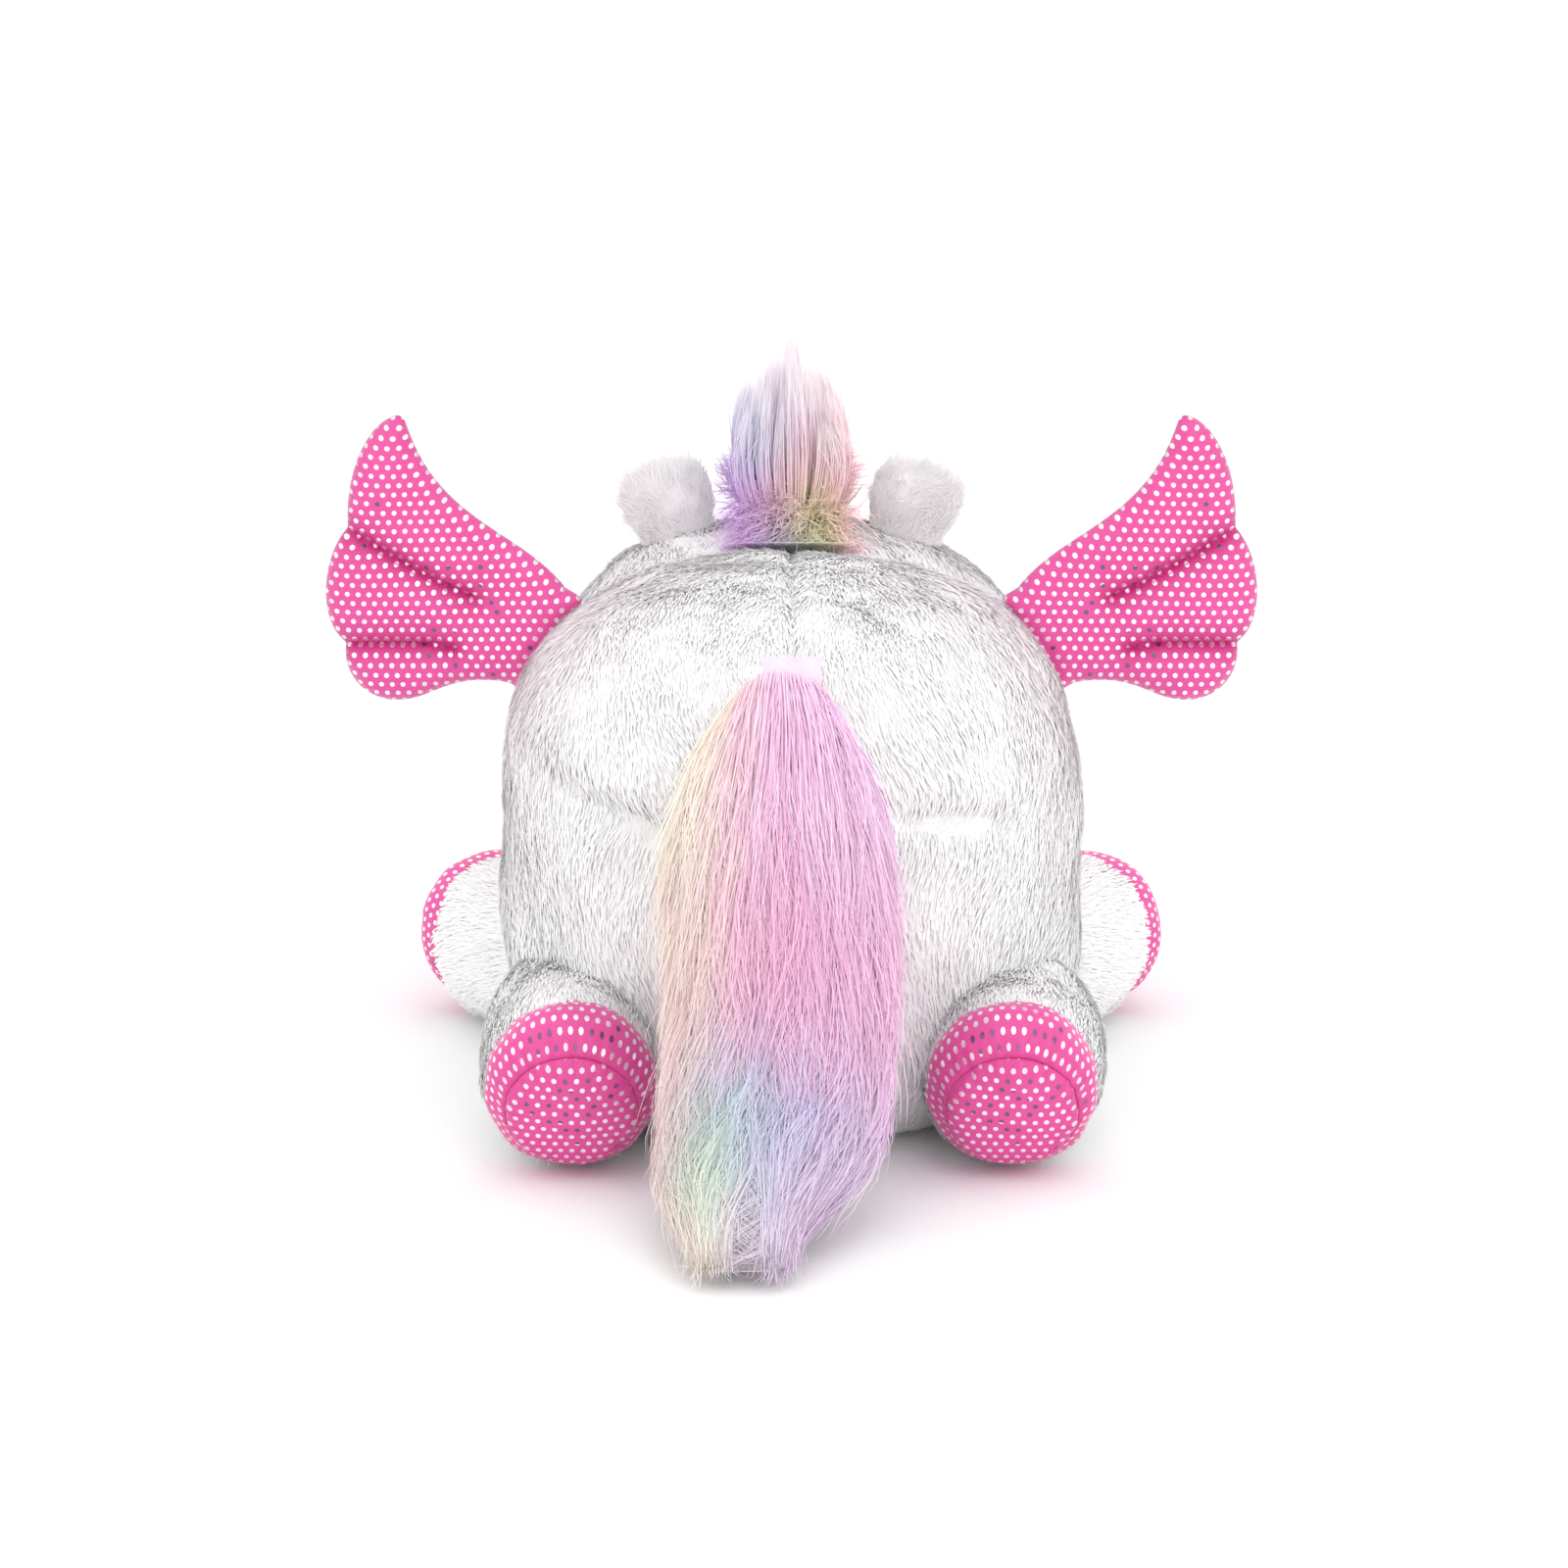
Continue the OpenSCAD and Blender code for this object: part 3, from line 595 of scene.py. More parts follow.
def body_relief(p):
    """How far the stuffed body's cover sinks below its plain outline, for points on it."""
    x, y, z = p[:, 0], p[:, 1] - BODY_Y, p[:, 2]
    on_back = ease((z - 0.02) / 0.03)
    seam = 0.0022 * bell(x, 0.0028) * on_back
    soft = 0.0014 * (lumps(p, 0.085, 1.0) + 0.6 * lumps(p, 0.038, 2.0)) + 0.0014
    creases = np.zeros(len(p))
    behind = ease(y / 0.04)
    for side, height, slant, reach in ((1, 0.134, 0.25, 0.016), (-1, 0.131, -0.2, 0.014)):
        over = x - side * 0.063
        rise = z - height - slant * side * over
        creases += 0.0075 * bell(over, reach) * bell(rise, 0.0045) * behind
        creases -= 0.003 * bell(over, reach * 1.3) * bell(rise - 0.013, 0.007) * behind
    neck = 0.005 * bell((head_size(p) - 1) * HEAD_R, 0.007) * ease((z - 0.12) / 0.05)
    return seam + soft * on_back + creases + neck


def body_surface():
    """The whole body's outside: open at the belly's rim."""
    outline = body_outline(34)
    turns = 132
    angles = np.arange(turns) / turns * 2 * math.pi
    rings = []
    for radius, height in outline[:-1]:
        ring = np.stack([radius * np.sin(angles), BODY_Y + radius * np.cos(angles),
                         np.full(turns, height)], axis=1)
        rings.append(ring)
    points = np.concatenate(rings + [[[0, BODY_Y, BODY_H]]])
    faces = loft_faces(len(rings), turns, closed=True)
    top = len(points) - 1
    last = (len(rings) - 1) * turns
    faces += [(last + k, last + (k + 1) % turns, top) for k in range(turns)]
    whole = tidy_normals(smooth_mesh("body_outside", points, faces))
    co = coords(whole)
    co -= unit_rows(normals(whole)) * body_relief(co)[:, None]
    co[:, 2] = np.maximum(co[:, 2], 0.0)
    set_coords(whole, co)
    return whole


def inside_balls(p, shrink):
    """Whether points lie inside the ball end of any leg."""
    found = np.zeros(len(p), bool)
    for pivot, _, _, _ in LEGS.values():
        found |= np.linalg.norm(p - pivot, axis=1) < LEG_R - shrink
    return found


def half_of(whole, name, sign, seam=0.0001):
    """The part of a surface on one side of the middle seam, cut cleanly at the seam."""
    half = copy_of(whole, name)
    bm = bmesh.new()
    bm.from_mesh(half.data)
    everything = bm.verts[:] + bm.edges[:] + bm.faces[:]
    bmesh.ops.bisect_plane(bm, geom=everything, plane_co=(sign * seam, 0, 0), plane_no=(-sign, 0, 0),
                           clear_outer=True)
    bm.to_mesh(half.data)
    bm.free()
    return half


def head_relief(p):
    q = p - HEAD
    seam = 0.0018 * bell(q[:, 0], 0.0028)
    soft = 0.0010 * (lumps(p, 0.07, 3.0) + 0.5 * lumps(p, 0.03, 4.0)) + 0.001
    sockets = np.zeros(len(p))
    for side, _ in SIDES:
        away = np.linalg.norm(p - box_middle("eye_" + side), axis=1)
        sockets += 0.0016 * bell(away - 0.0115, 0.004)
    return seam + soft + sockets


def head_surface():
    """The whole head's outside, closed at both cheeks."""
    rows, turns = 58, 104
    angles = np.arange(turns) / turns * 2 * math.pi
    outline = []
    for k in range(rows + 1):
        a = math.pi * k / rows - math.pi / 2
        outline.append((HEAD_HALF_W * math.copysign(abs(math.sin(a)) ** (2 / HEAD_POWER), a),
                        HEAD_R * max(0.0, math.cos(a)) ** (2 / HEAD_POWER)))
    outline = even_steps(outline, rows + 1)
    rings = []
    for across, radius in outline[1:-1]:
        rings.append(np.stack([np.full(turns, across), radius * np.cos(angles), radius * np.sin(angles)],
                              axis=1))
    points = np.concatenate(rings + [[[-HEAD_HALF_W, 0, 0], [HEAD_HALF_W, 0, 0]]]) + HEAD
    faces = loft_faces(len(rings), turns, closed=True)
    first, last = len(points) - 2, len(points) - 1
    start = (len(rings) - 1) * turns
    faces += [((k + 1) % turns, k, first) for k in range(turns)]
    faces += [(start + k, start + (k + 1) % turns, last) for k in range(turns)]
    whole = tidy_normals(smooth_mesh("head_outside", points, faces))
    co = coords(whole)
    co -= unit_rows(normals(whole)) * head_relief(co)[:, None]
    set_coords(whole, co)
    return whole


def muzzle_surface():
    rows, turns = 26, 48
    points = []
    for r in range(rows + 1):
        a = math.pi * r / rows
        for t in range(turns):
            b = 2 * math.pi * t / turns
            points.append((math.sin(a) * math.cos(b), -math.cos(a), math.sin(a) * math.sin(b)))
    points = np.array(points) * (MUZZLE_R - 0.0006) + MUZZLE
    whole = tidy_normals(smooth_mesh("muzzle_outside", points, loft_faces(rows + 1, turns, closed=True)))
    co = coords(whole)
    mouth = co - MUZZLE
    dip = 0.0022 * bell(mouth[:, 0], 0.004) * bell(mouth[:, 2] + 0.012, 0.012) * (mouth[:, 1] < 0)
    co -= unit_rows(normals(whole)) * (0.0008 * (lumps(co, 0.05, 5.0) + 1) + dip)[:, None]
    set_coords(whole, co)
    return whole


# ---- Pile: short blades set on a surface ----

def pile_blade(name, width, bend):
    """One tuft of pile, one unit long: flat at its root, curved and pointed."""
    points = [(0, -width / 2, 0), (0, width / 2, 0), (bend * 0.3, width * 0.42, 0.52),
              (bend * 0.3, -width * 0.42, 0.52), (bend, 0, 1)]
    blade = smooth_mesh(name, points, [(0, 1, 2, 3), (3, 2, 4)])
    along = blade.data.attributes.new("along", "FLOAT", "POINT")
    along.data.foreach_set("value", [0.0, 0.0, 0.6, 0.6, 1.0])
    blade.hide_render = True
    return blade


def pile_tree():
    """Geometry nodes that set combed pile on a surface. Its comb attribute says which way it lies."""
    tree = bpy.data.node_groups.new("combed_pile", "GeometryNodeTree")
    face = tree.interface
    face.new_socket("Surface", in_out="INPUT", socket_type="NodeSocketGeometry")
    for name, kind in (("Blade", "NodeSocketObject"), ("Density", "NodeSocketFloat"),
                       ("Length", "NodeSocketFloat"), ("Lean", "NodeSocketFloat"),
                       ("Ruffle", "NodeSocketFloat"), ("Seed", "NodeSocketInt"),
                       ("Finish", "NodeSocketMaterial")):
        face.new_socket(name, in_out="INPUT", socket_type=kind)
    face.new_socket("Pile", in_out="OUTPUT", socket_type="NodeSocketGeometry")
    n, join = tree.nodes, tree.links.new
    given = n.new("NodeGroupInput").outputs
    scatter = n.new("GeometryNodeDistributePointsOnFaces")
    join(given["Surface"], scatter.inputs["Mesh"])
    join(given["Density"], scatter.inputs["Density"])
    join(given["Seed"], scatter.inputs["Seed"])
    comb = n.new("GeometryNodeInputNamedAttribute")
    comb.data_type = "FLOAT_VECTOR"
    comb.inputs["Name"].default_value = "comb"

    def vector(operation, a, b=None, scale=None):
        node = n.new("ShaderNodeVectorMath")
        node.operation = operation
        for socket, value in ((node.inputs[0], a), (node.inputs[1], b), (node.inputs[3], scale)):
            if isinstance(value, bpy.types.NodeSocket):
                join(value, socket)
            elif value is not None:
                socket.default_value = value
        return node.outputs["Vector"]

    def random_value(kind, low, high, salt):
        node = n.new("FunctionNodeRandomValue")
        node.data_type = kind
        at = 0 if kind == "FLOAT_VECTOR" else 2
        node.inputs[at].default_value = low
        node.inputs[at + 1].default_value = high
        node.inputs["Seed"].default_value = salt
        return node.outputs[0 if kind == "FLOAT_VECTOR" else 1]

    def swirl(scale, strength):
        noise = n.new("ShaderNodeTexNoise")
        noise.inputs["Scale"].default_value = scale
        noise.inputs["Detail"].default_value = 1.0
        centred = vector("SUBTRACT", noise.outputs["Color"], (0.5, 0.5, 0.5))
        return vector("SCALE", centred, scale=strength)

    way = vector("SCALE", comb.outputs[0], scale=given["Lean"])
    way = vector("ADD", way, scatter.outputs["Normal"])
    loose = vector("ADD", swirl(38, 2.6), swirl(170, 2.2))
    loose = vector("ADD", loose, random_value("FLOAT_VECTOR", (-0.45,) * 3, (0.45,) * 3, 5))
    way = vector("ADD", way, vector("SCALE", loose, scale=given["Ruffle"]))
    rise = n.new("FunctionNodeAlignRotationToVector")
    rise.axis = "Z"
    join(way, rise.inputs["Vector"])
    roll = n.new("FunctionNodeAlignRotationToVector")
    roll.axis, roll.pivot_axis = "X", "Z"
    join(rise.outputs["Rotation"], roll.inputs["Rotation"])
    join(vector("SCALE", scatter.outputs["Normal"], scale=-1.0), roll.inputs["Vector"])
    length = n.new("ShaderNodeMath")
    length.operation = "MULTIPLY"
    join(given["Length"], length.inputs[0])
    join(random_value("FLOAT", 0.7, 1.15, 9), length.inputs[1])
    put = n.new("GeometryNodeInstanceOnPoints")
    shape = n.new("GeometryNodeObjectInfo")
    join(given["Blade"], shape.inputs["Object"])
    join(scatter.outputs["Points"], put.inputs["Points"])
    join(shape.outputs["Geometry"], put.inputs["Instance"])
    join(roll.outputs["Rotation"], put.inputs["Rotation"])
    join(length.outputs[0], put.inputs["Scale"])
    real = n.new("GeometryNodeRealizeInstances")
    join(put.outputs["Instances"], real.inputs["Geometry"])
    paint = n.new("GeometryNodeSetMaterial")
    join(real.outputs["Geometry"], paint.inputs["Geometry"])
    join(given["Finish"], paint.inputs["Material"])
    join(paint.outputs["Geometry"], n.new("NodeGroupOutput").inputs["Pile"])
    return tree


PILE_TREE = pile_tree()
SHORT_BLADE = pile_blade("pile_blade", 0.14, 0.34)


def by_nodes(obj, tree, **inputs):
    """Runs a geometry-nodes tree on a mesh and keeps the plain mesh that it makes."""
    grow = obj.modifiers.new("Make", "NODES")
    grow.node_group = tree
    for item in tree.interface.items_tree:
        if item.item_type == "SOCKET" and item.in_out == "INPUT" and item.name in inputs:
            grow[item.identifier] = inputs[item.name]
    return made_plain(obj)


def comb_surface(obj, way, blush=None):
    """Writes the way that the nap lies on each point of a surface, and how much painted pink bounce light
    from the wings it shows.
    """
    normal = unit_rows(normals(obj))
    flat = way - normal * np.sum(way * normal, axis=1, keepdims=True)
    lay = obj.data.attributes.new("comb", "FLOAT_VECTOR", "POINT")
    lay.data.foreach_set("vector", unit_rows(flat).reshape(-1))
    tone = obj.data.attributes.new("blush", "FLOAT", "POINT")
    tone.data.foreach_set("value", np.zeros(len(normal)) if blush is None else blush)
    return obj


def grow_pile(surface, name, area_density, length, seed, lean=2.1, ruffle=0.6, most=64000):
    """Turns a combed surface into the short pile on it. The number of tufts stays under most."""
    surface.name = name
    area = sum(face.area for face in surface.data.polygons)
    density = min(area_density, most / area)
    return by_nodes(surface, PILE_TREE, Blade=SHORT_BLADE, Density=density, Length=length, Lean=lean,
                    Ruffle=ruffle, Seed=seed, Finish=WHITE_PILE)


def nap_way(p, backward=0.5):
    """The pile lies down and backwards, and swirls a little."""
    way = np.tile([0.0, backward, -1.0], (len(p), 1))
    way[:, 0] += 0.55 * lumps(p, 0.12, 6.0)
    way[:, 1] += 0.35 * lumps(p, 0.10, 7.0)
    return way


def painted_wing_bounce(p):
    """Painted reflected light: where the white pile is tinted pink as if by light bounced off the wings."""
    root = joint_place("wing_flap_left")
    near = np.linalg.norm(np.abs(p * np.array([1, 0, 0])) + p * np.array([0, 1, 1]) - root, axis=1)
    return 0.55 * bell(near, 0.045)


# ---- The body ----

def body_pieces():
    whole = body_surface()
    belly_cover()
    for side, sign in SIDES:
        cover = half_of(whole, "body_plush_" + side, sign)
        co = coords(cover)
        hidden = (head_size(co) < 0.955) | inside_balls(co, 0.004)
        drop_points(cover, hidden)
        pile_base = comb_surface(copy_of(cover, "base"), nap_way(coords(cover)), painted_wing_bounce(coords(cover)))
        drop_points(pile_base, coords(pile_base)[:, 2] < 0.004)
        pile = grow_pile(pile_base, "body_pile_" + side, PLAIN_TUFTS, PILE_LEN, seed=11)
        rest_on_floor(pile, 0.0005)
        dress(with_wall(cover, COVER_T), BACKING)
        settle(cover, "body", "white_plush", "body_cover_" + side)
        settle(pile, "body", "white_plush")
    bpy.data.objects.remove(whole)
    filling("body_filling", "body", "body_stuffing")


def belly_cover():
    """The flat panel under the belly: quilted a little by the filling above it."""
    rings, turns = 14, 72
    points = [(0, BODY_Y, 0)]
    for r in range(1, rings + 1):
        for t in range(turns):
            a = 2 * math.pi * t / turns
            reach = (BELLY_R - 0.0006) * r / rings
            points.append((reach * math.sin(a), BODY_Y + reach * math.cos(a), 0))
    faces = [(0, 1 + t, 1 + (t + 1) % turns) for t in range(turns)]
    for r in range(rings - 1):
        for t in range(turns):
            a, b = 1 + r * turns + t, 1 + r * turns + (t + 1) % turns
            faces.append((a, a + turns, b + turns, b))
    panel = smooth_mesh("belly_plush", points, faces)
    co = coords(panel)
    co[:, 2] = 0.0006 + 0.0004 * lumps(co, 0.03, 8.0)
    set_coords(panel, co)
    tidy_normals(panel)
    if panel.data.polygons[0].normal.z > 0:
        panel.data.flip_normals()
    dress(with_wall(panel, COVER_T * 0.7), BACKING)
    co = coords(panel)
    co[:, 2] -= co[:, 2].min()
    set_coords(panel, co)
    settle(panel, "body", "white_plush", "belly_panel")


def settle(obj, body, slot, *nodes, fill=None, blend=None):
    """Parents a finished piece to its body's empty, or only bakes its place into its points when a blend is
    given, and hides the imported parts that it stands for. The fill argument is not used.
    """
    if blend is None:
        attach(obj, body)
    else:
        tuple(blend[1])
        tuple(blend[2])
        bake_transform(obj)
    if nodes:
        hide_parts(*nodes)
    return obj


def filling(name, body, node, blend=None, shrink=0.0015, voxel=0.0055):
    """Loose fibre that fills a cover: the filling's space, uneven and a little slack."""
    obj = copy_of(frame["nodes"][node], name)
    tidy_normals(obj, 0.00002)
    remeshed(obj, voxel)
    co = coords(obj)
    co -= unit_rows(normals(obj)) * (shrink + 0.0006 * (1 + lumps(co, 0.016, 9.0)))[:, None]
    set_coords(obj, co)
    obj.data.polygons.foreach_set("use_smooth", [True] * len(obj.data.polygons))
    dress(obj, FIBRE)
    return settle(obj, body, "fibre_fill", node, fill=0.7, blend=blend)


# ---- The head, muzzle and face ----

def head_pieces():
    whole = head_surface()
    for side, sign in SIDES:
        cover = half_of(whole, "head_plush_" + side, sign)
        co = coords(cover)
        in_muzzle = np.linalg.norm(co - MUZZLE, axis=1) < MUZZLE_R - 0.010
        drop_points(cover, (co[:, 1] > HEAD[1] + 0.059) | in_muzzle)
        base = copy_of(cover, "base")
        co = coords(base)
        eye_gap = np.linalg.norm(co - box_middle("eye_" + side), axis=1)
        drop_points(base, (body_depth(co) > 0.012) | (eye_gap < 0.0102))
        way = nap_way(coords(base), 0.7)
        pile = grow_pile(comb_surface(base, way), "head_pile_" + side, PLAIN_TUFTS, PILE_LEN, seed=21,
                         most=52000)
        dress(with_wall(cover, COVER_T), BACKING)
        settle(cover, "head", "white_plush", "head_cover_" + side)
        settle(pile, "head", "white_plush")
    bpy.data.objects.remove(whole)
    filling("head_filling", "head", "head_stuffing")


def muzzle_pieces():
    cover = muzzle_surface()
    cover.name = "muzzle_plush"
    drop_points(cover, head_size(coords(cover)) < 0.925)
    base = copy_of(cover, "base")
    drop_points(base, head_size(coords(base)) < 0.99)
    co = coords(base) - MUZZLE
    way = unit_rows(co) * 0.2 + np.array([0, 0.9, -0.3])
    pile = grow_pile(comb_surface(base, way), "muzzle_pile", FINE_TUFTS, PILE_LEN * 0.6, seed=31)
    dress(with_wall(cover, COVER_T), BACKING)
    settle(cover, "head", "white_plush", "muzzle_cover")
    settle(pile, "head", "white_plush")
    filling("muzzle_filling", "head", "muzzle_stuffing")


def face_pieces():
    for side, _ in SIDES:
        dress(frame["nodes"]["eye_" + side], EYE)
        dress(frame["nodes"]["eye_washer_" + side], WASHER)
        nostril(side)
    smile()


def satin_patch(name, middle, out, up, radius, count, thread):
    """An embroidered dot: laid threads side by side, over the pile."""
    out, up = unit_rows(out), unit_rows(up)
    across = np.cross(up, out)
    lines = []
    for k in range(count):
        share = (k + 0.5) / count * 2 - 1
        half = radius * math.sqrt(max(0.02, 1 - share * share))
        run = [middle + across * share * radius + up * half * u + out * 0.0022 * (1 - 0.6 * abs(u) ** 3)
               for u in np.linspace(-1, 1, 9)]
        lines.append(run)
    return threads(name, lines, thread)


def threads(name, lines, radius, sides=6):
    """Round threads that follow these lines of points, as one mesh."""
    points, faces = [], []
    for line in lines:
        line = np.array(line, float)
        ahead = unit_rows(np.gradient(line, axis=0))
        helper = np.array([0.0, 0.0, 1.0]) if abs(ahead[0][2]) < 0.9 else np.array([1.0, 0.0, 0.0])
        side = unit_rows(np.cross(ahead, helper))
        rise = np.cross(ahead, side)
        start = len(points)
        for k, centre in enumerate(line):
            size = radius * (0.35 if k in (0, len(line) - 1) else 1.0)
            for s in range(sides):
                a = 2 * math.pi * s / sides
                points.append(centre + size * (side[k] * math.cos(a) + rise[k] * math.sin(a)))
        faces += [tuple(start + v for v in f) for f in loft_faces(len(line), sides, closed=True)]
        faces.append(tuple(start + s for s in range(sides - 1, -1, -1)))
        faces.append(tuple(start + (len(line) - 1) * sides + s for s in range(sides)))
    return tidy_normals(smooth_mesh(name, points, faces), 0.000001)


def nostril(side):
    out = unit_rows(box_middle("nostril_" + side) - MUZZLE)
    middle = MUZZLE + out * (MUZZLE_R + 0.0016)
    patch = satin_patch("nostril_satin_" + side, middle, out, np.array([0.0, 0.2, 1.0]), 0.0034, 9, 0.00042)
    dress(patch, PINK_THREAD)
    settle(patch, "head", "embroidery", "nostril_" + side)


def smile():
    """Stem stitches along the mouth's curve, each lying half over the next."""
    turn = math.radians(110)
    reach = math.radians(22)
    dip = math.radians(4)
    curve = []
    for k in range(49):
        a = -math.pi / 2 - turn / 2 + turn * k / 48
        local = np.array([math.sin(reach) * math.cos(a), -math.cos(reach), math.sin(reach) * math.sin(a)])
        y = local[1] * math.cos(dip) - local[2] * -math.sin(dip)
        z = local[2] * math.cos(dip) - local[1] * math.sin(dip)
        curve.append(MUZZLE + np.array([local[0], y, z]) * (MUZZLE_R + 0.0030))
    curve = even_steps(curve, 57)
    lines = []
    for k in range(0, 54, 3):
        lines.append(curve[k:k + 4] + np.array([0, -0.0002, 0.0004 * (k % 2)]))
    mouth = dress(threads("smile_stitches", lines, 0.00055), PINK_THREAD)
    settle(mouth, "head", "embroidery", "mouth_stitching")


# ---- The horn ----

HORN_UP = math.radians(42)
HORN_WAY = np.array([0.0, -math.cos(HORN_UP), math.sin(HORN_UP)])
HORN_TOP = np.array([0.0, math.sin(HORN_UP), math.cos(HORN_UP)])
HORN_FOOT = HEAD + HORN_WAY * (HEAD_R + 0.0007)
HORN_LEN = 0.062
HORN_R = 0.013
HORN_TIP_R = 0.003
HORN_TURNS = 5
CORD_R = 0.0009
CORD_START = 0.003
CORD_RUN = 0.86


def horn_point(along, angle, radius):
    side = np.array([1.0, 0.0, 0.0])
    return HORN_FOOT + HORN_WAY * along + radius * (side * math.cos(angle) + HORN_TOP * math.sin(angle))


def horn_groove(along, angle):
    """How far the cord's pull sinks the stuffed cone at this place."""
    phase = (along - CORD_START) / (HORN_LEN * CORD_RUN) * HORN_TURNS - angle / (2 * math.pi)
    near = abs(phase - round(phase))
    return bell(near, 0.1)


def horn_pieces():
    rows, turns = 96, 48
    points = []
    for r in range(rows + 1):
        t = r / rows
        along = HORN_LEN * t
        plain = HORN_R + (HORN_TIP_R - HORN_R) * t
        cap = math.sqrt(max(0.0, 1 - max(0.0, (t - 0.955) / 0.045) ** 2))
        for k in range(turns):
            a = 2 * math.pi * k / turns
            puff = 0.0011 * (1 - 1.6 * horn_groove(along, a)) * (1 - t * 0.6)
            radius = (plain + puff) * cap
            points.append(horn_point(along - 0.004 * (1 - t) ** 8, a, radius))
    cone = tidy_normals(smooth_mesh("horn_cone", points, loft_faces(rows + 1, turns, closed=True)))
    dress(with_wall(cone, SATIN_T), SATIN)
    settle(cone, "head", "horn_cloth", "horn_cover")
    filling("horn_filling", "head", "horn_stuffing", shrink=0.0012, voxel=0.0018)
    plies = []
    steps = 260
    for ply in range(3):
        line = []
        for k in range(steps + 1):
            s = k / steps
            along = CORD_START + HORN_LEN * CORD_RUN * s
            a = 2 * math.pi * HORN_TURNS * s
            plain = HORN_R + (HORN_TIP_R - HORN_R) * along / HORN_LEN
            twist = 2 * math.pi * (s * 46 + ply / 3)
            lift = plain + CORD_R * 0.55 + CORD_R * 0.5 * math.cos(twist)
            line.append(horn_point(along + CORD_R * 0.5 * math.sin(twist), a, lift))
        plies.append(line)
    cord = dress(threads("horn_twist", plies, CORD_R * 0.56, sides=5), HORN_CORD)
    settle(cord, "head", "horn_cord", "horn_cord")


# ---- The ears ----

EAR_H = 0.030
EAR_W = 0.038
EAR_ROOT = 0.004


def ear_frame(side):
    """An ear's foot, the way across it and the way up it."""
    across = np.array(JOINT["ear_fold_" + side]["axis"], float)
    up = np.array([-across[2], 0.0, across[0]])
    return joint_place("ear_fold_" + side), unit_rows(across), unit_rows(up)


def ear_pieces():
    rows, cols = 22, 18
    for side, _ in SIDES:
        foot, across, up = ear_frame(side)

        def place(u, v, depth, inset):
            """u from -1 to 1 across, v from 0 at the foot to 1 at the tip, depth towards the rear."""
            half = (EAR_W / 2 - inset) * (0.80 + 0.2 * ease(v * 2.2))
            half *= (1 - max(0.0, (v - 0.55) / 0.45) ** 2.4) ** 0.42
            cup = 0.0045 * (1 - u * u) * (1 - v * 0.4)
            lift = -EAR_ROOT + (EAR_H - inset + EAR_ROOT) * v
            return foot + across * half * u + up * lift + np.array([0, 1, 0]) * (cup + depth)

        for part, node, slot, depth, inset, finish in (
                ("plush", "ear_back_", "white_plush", 0.0016, 0.0, BACKING),
                ("lining", "ear_lining_", "ear_lining", -0.0016, 0.0022, LINING)):
            points = []
            for r in range(rows + 1):
                v = r / rows * 0.999
                for c in range(cols + 1):
                    u = c / cols * 2 - 1
                    bulge = (1 - u * u) * math.sin(math.pi * min(1.0, v * 1.1)) * 0.0012
                    points.append(place(u, v, depth + math.copysign(bulge, depth), inset))
            ear = smooth_mesh(f"ear_{part}_{side}", points, loft_faces(rows + 1, cols + 1))
            tidy_normals(ear)
            toward = np.mean([p.normal.y for p in ear.data.polygons])
            if toward * depth < 0:
                ear.data.flip_normals()
            root_low, root_high = foot - up * 0.001, foot + up * 0.008
            if part == "plush":
                base = copy_of(ear, "base")
                comb_surface(base, np.tile(up, (len(base.data.vertices), 1)))
                pile = grow_pile(base, "ear_pile_" + side, EAR_TUFTS, PILE_LEN * 0.7, seed=41, lean=0.9,
                                 ruffle=0.7)
                settle(pile, "ear_" + side, slot, blend=("head", root_low, root_high))
            dress(with_wall(ear, EAR_CLOTH_T), finish)
            settle(ear, "ear_" + side, slot, node + side, blend=("head", root_low, root_high))


# ---- The legs and hooves ----

def leg_radius(t, length):
    """The stuffed sleeve's radius at distance t along the leg from its ball's centre."""
    neck = length - HOOF_LEN
    if t < 0:
        return math.sqrt(max(0.0, LEG_R ** 2 - t * t))
    swell = 1 + 0.02 * math.sin(math.pi * min(1.0, t / neck))
    close = ease((t - neck * 0.72) / (neck * 0.34))
    return LEG_R * swell * (1 - 0.075 * close)


def leg_relief(p, pivot):
    """Soft lumps over the sleeve."""
    return 0.0011 * (lumps(p - pivot, 0.045, 12.0) + 0.5 * lumps(p - pivot, 0.02, 13.0))


def revolved(name, rows, turns, leg, closed_ends=True):
    """A surface round a leg's line from (along, radius) rows."""
    pivot, way, side, _ = leg
    up = np.array([0.0, 0.0, 1.0])
    points = []
    for along, radius in rows:
        for k in range(turns):
            a = 2 * math.pi * k / turns
            points.append(pivot + way * along + radius * (side * math.sin(a) + up * math.cos(a)))
    obj = smooth_mesh(name, points, loft_faces(len(rows), turns, closed=True))
    return tidy_normals(obj) if closed_ends else obj


def nod_hoof(obj, leg, most=math.radians(24)):
    """A filled hoof hangs a little: its sole looks down, and its seam's top comes forward."""
    pivot, way, _, length = leg
    co = coords(obj)
    along = (co - pivot) @ way
    up = co[:, 2] - pivot[2]
    middle = length - HOOF_LEN * 0.62
    turn = most * ease((along - (length - HOOF_LEN)) / 0.022)
    ahead = along - middle
    new_ahead = ahead * np.cos(turn) + up * np.sin(turn) * 0.62
    new_up = up * np.cos(turn) - ahead * np.sin(turn)
    co += (new_ahead - ahead)[:, None] * way
    co[:, 2] += new_up - up
    set_coords(obj, co)
    return obj


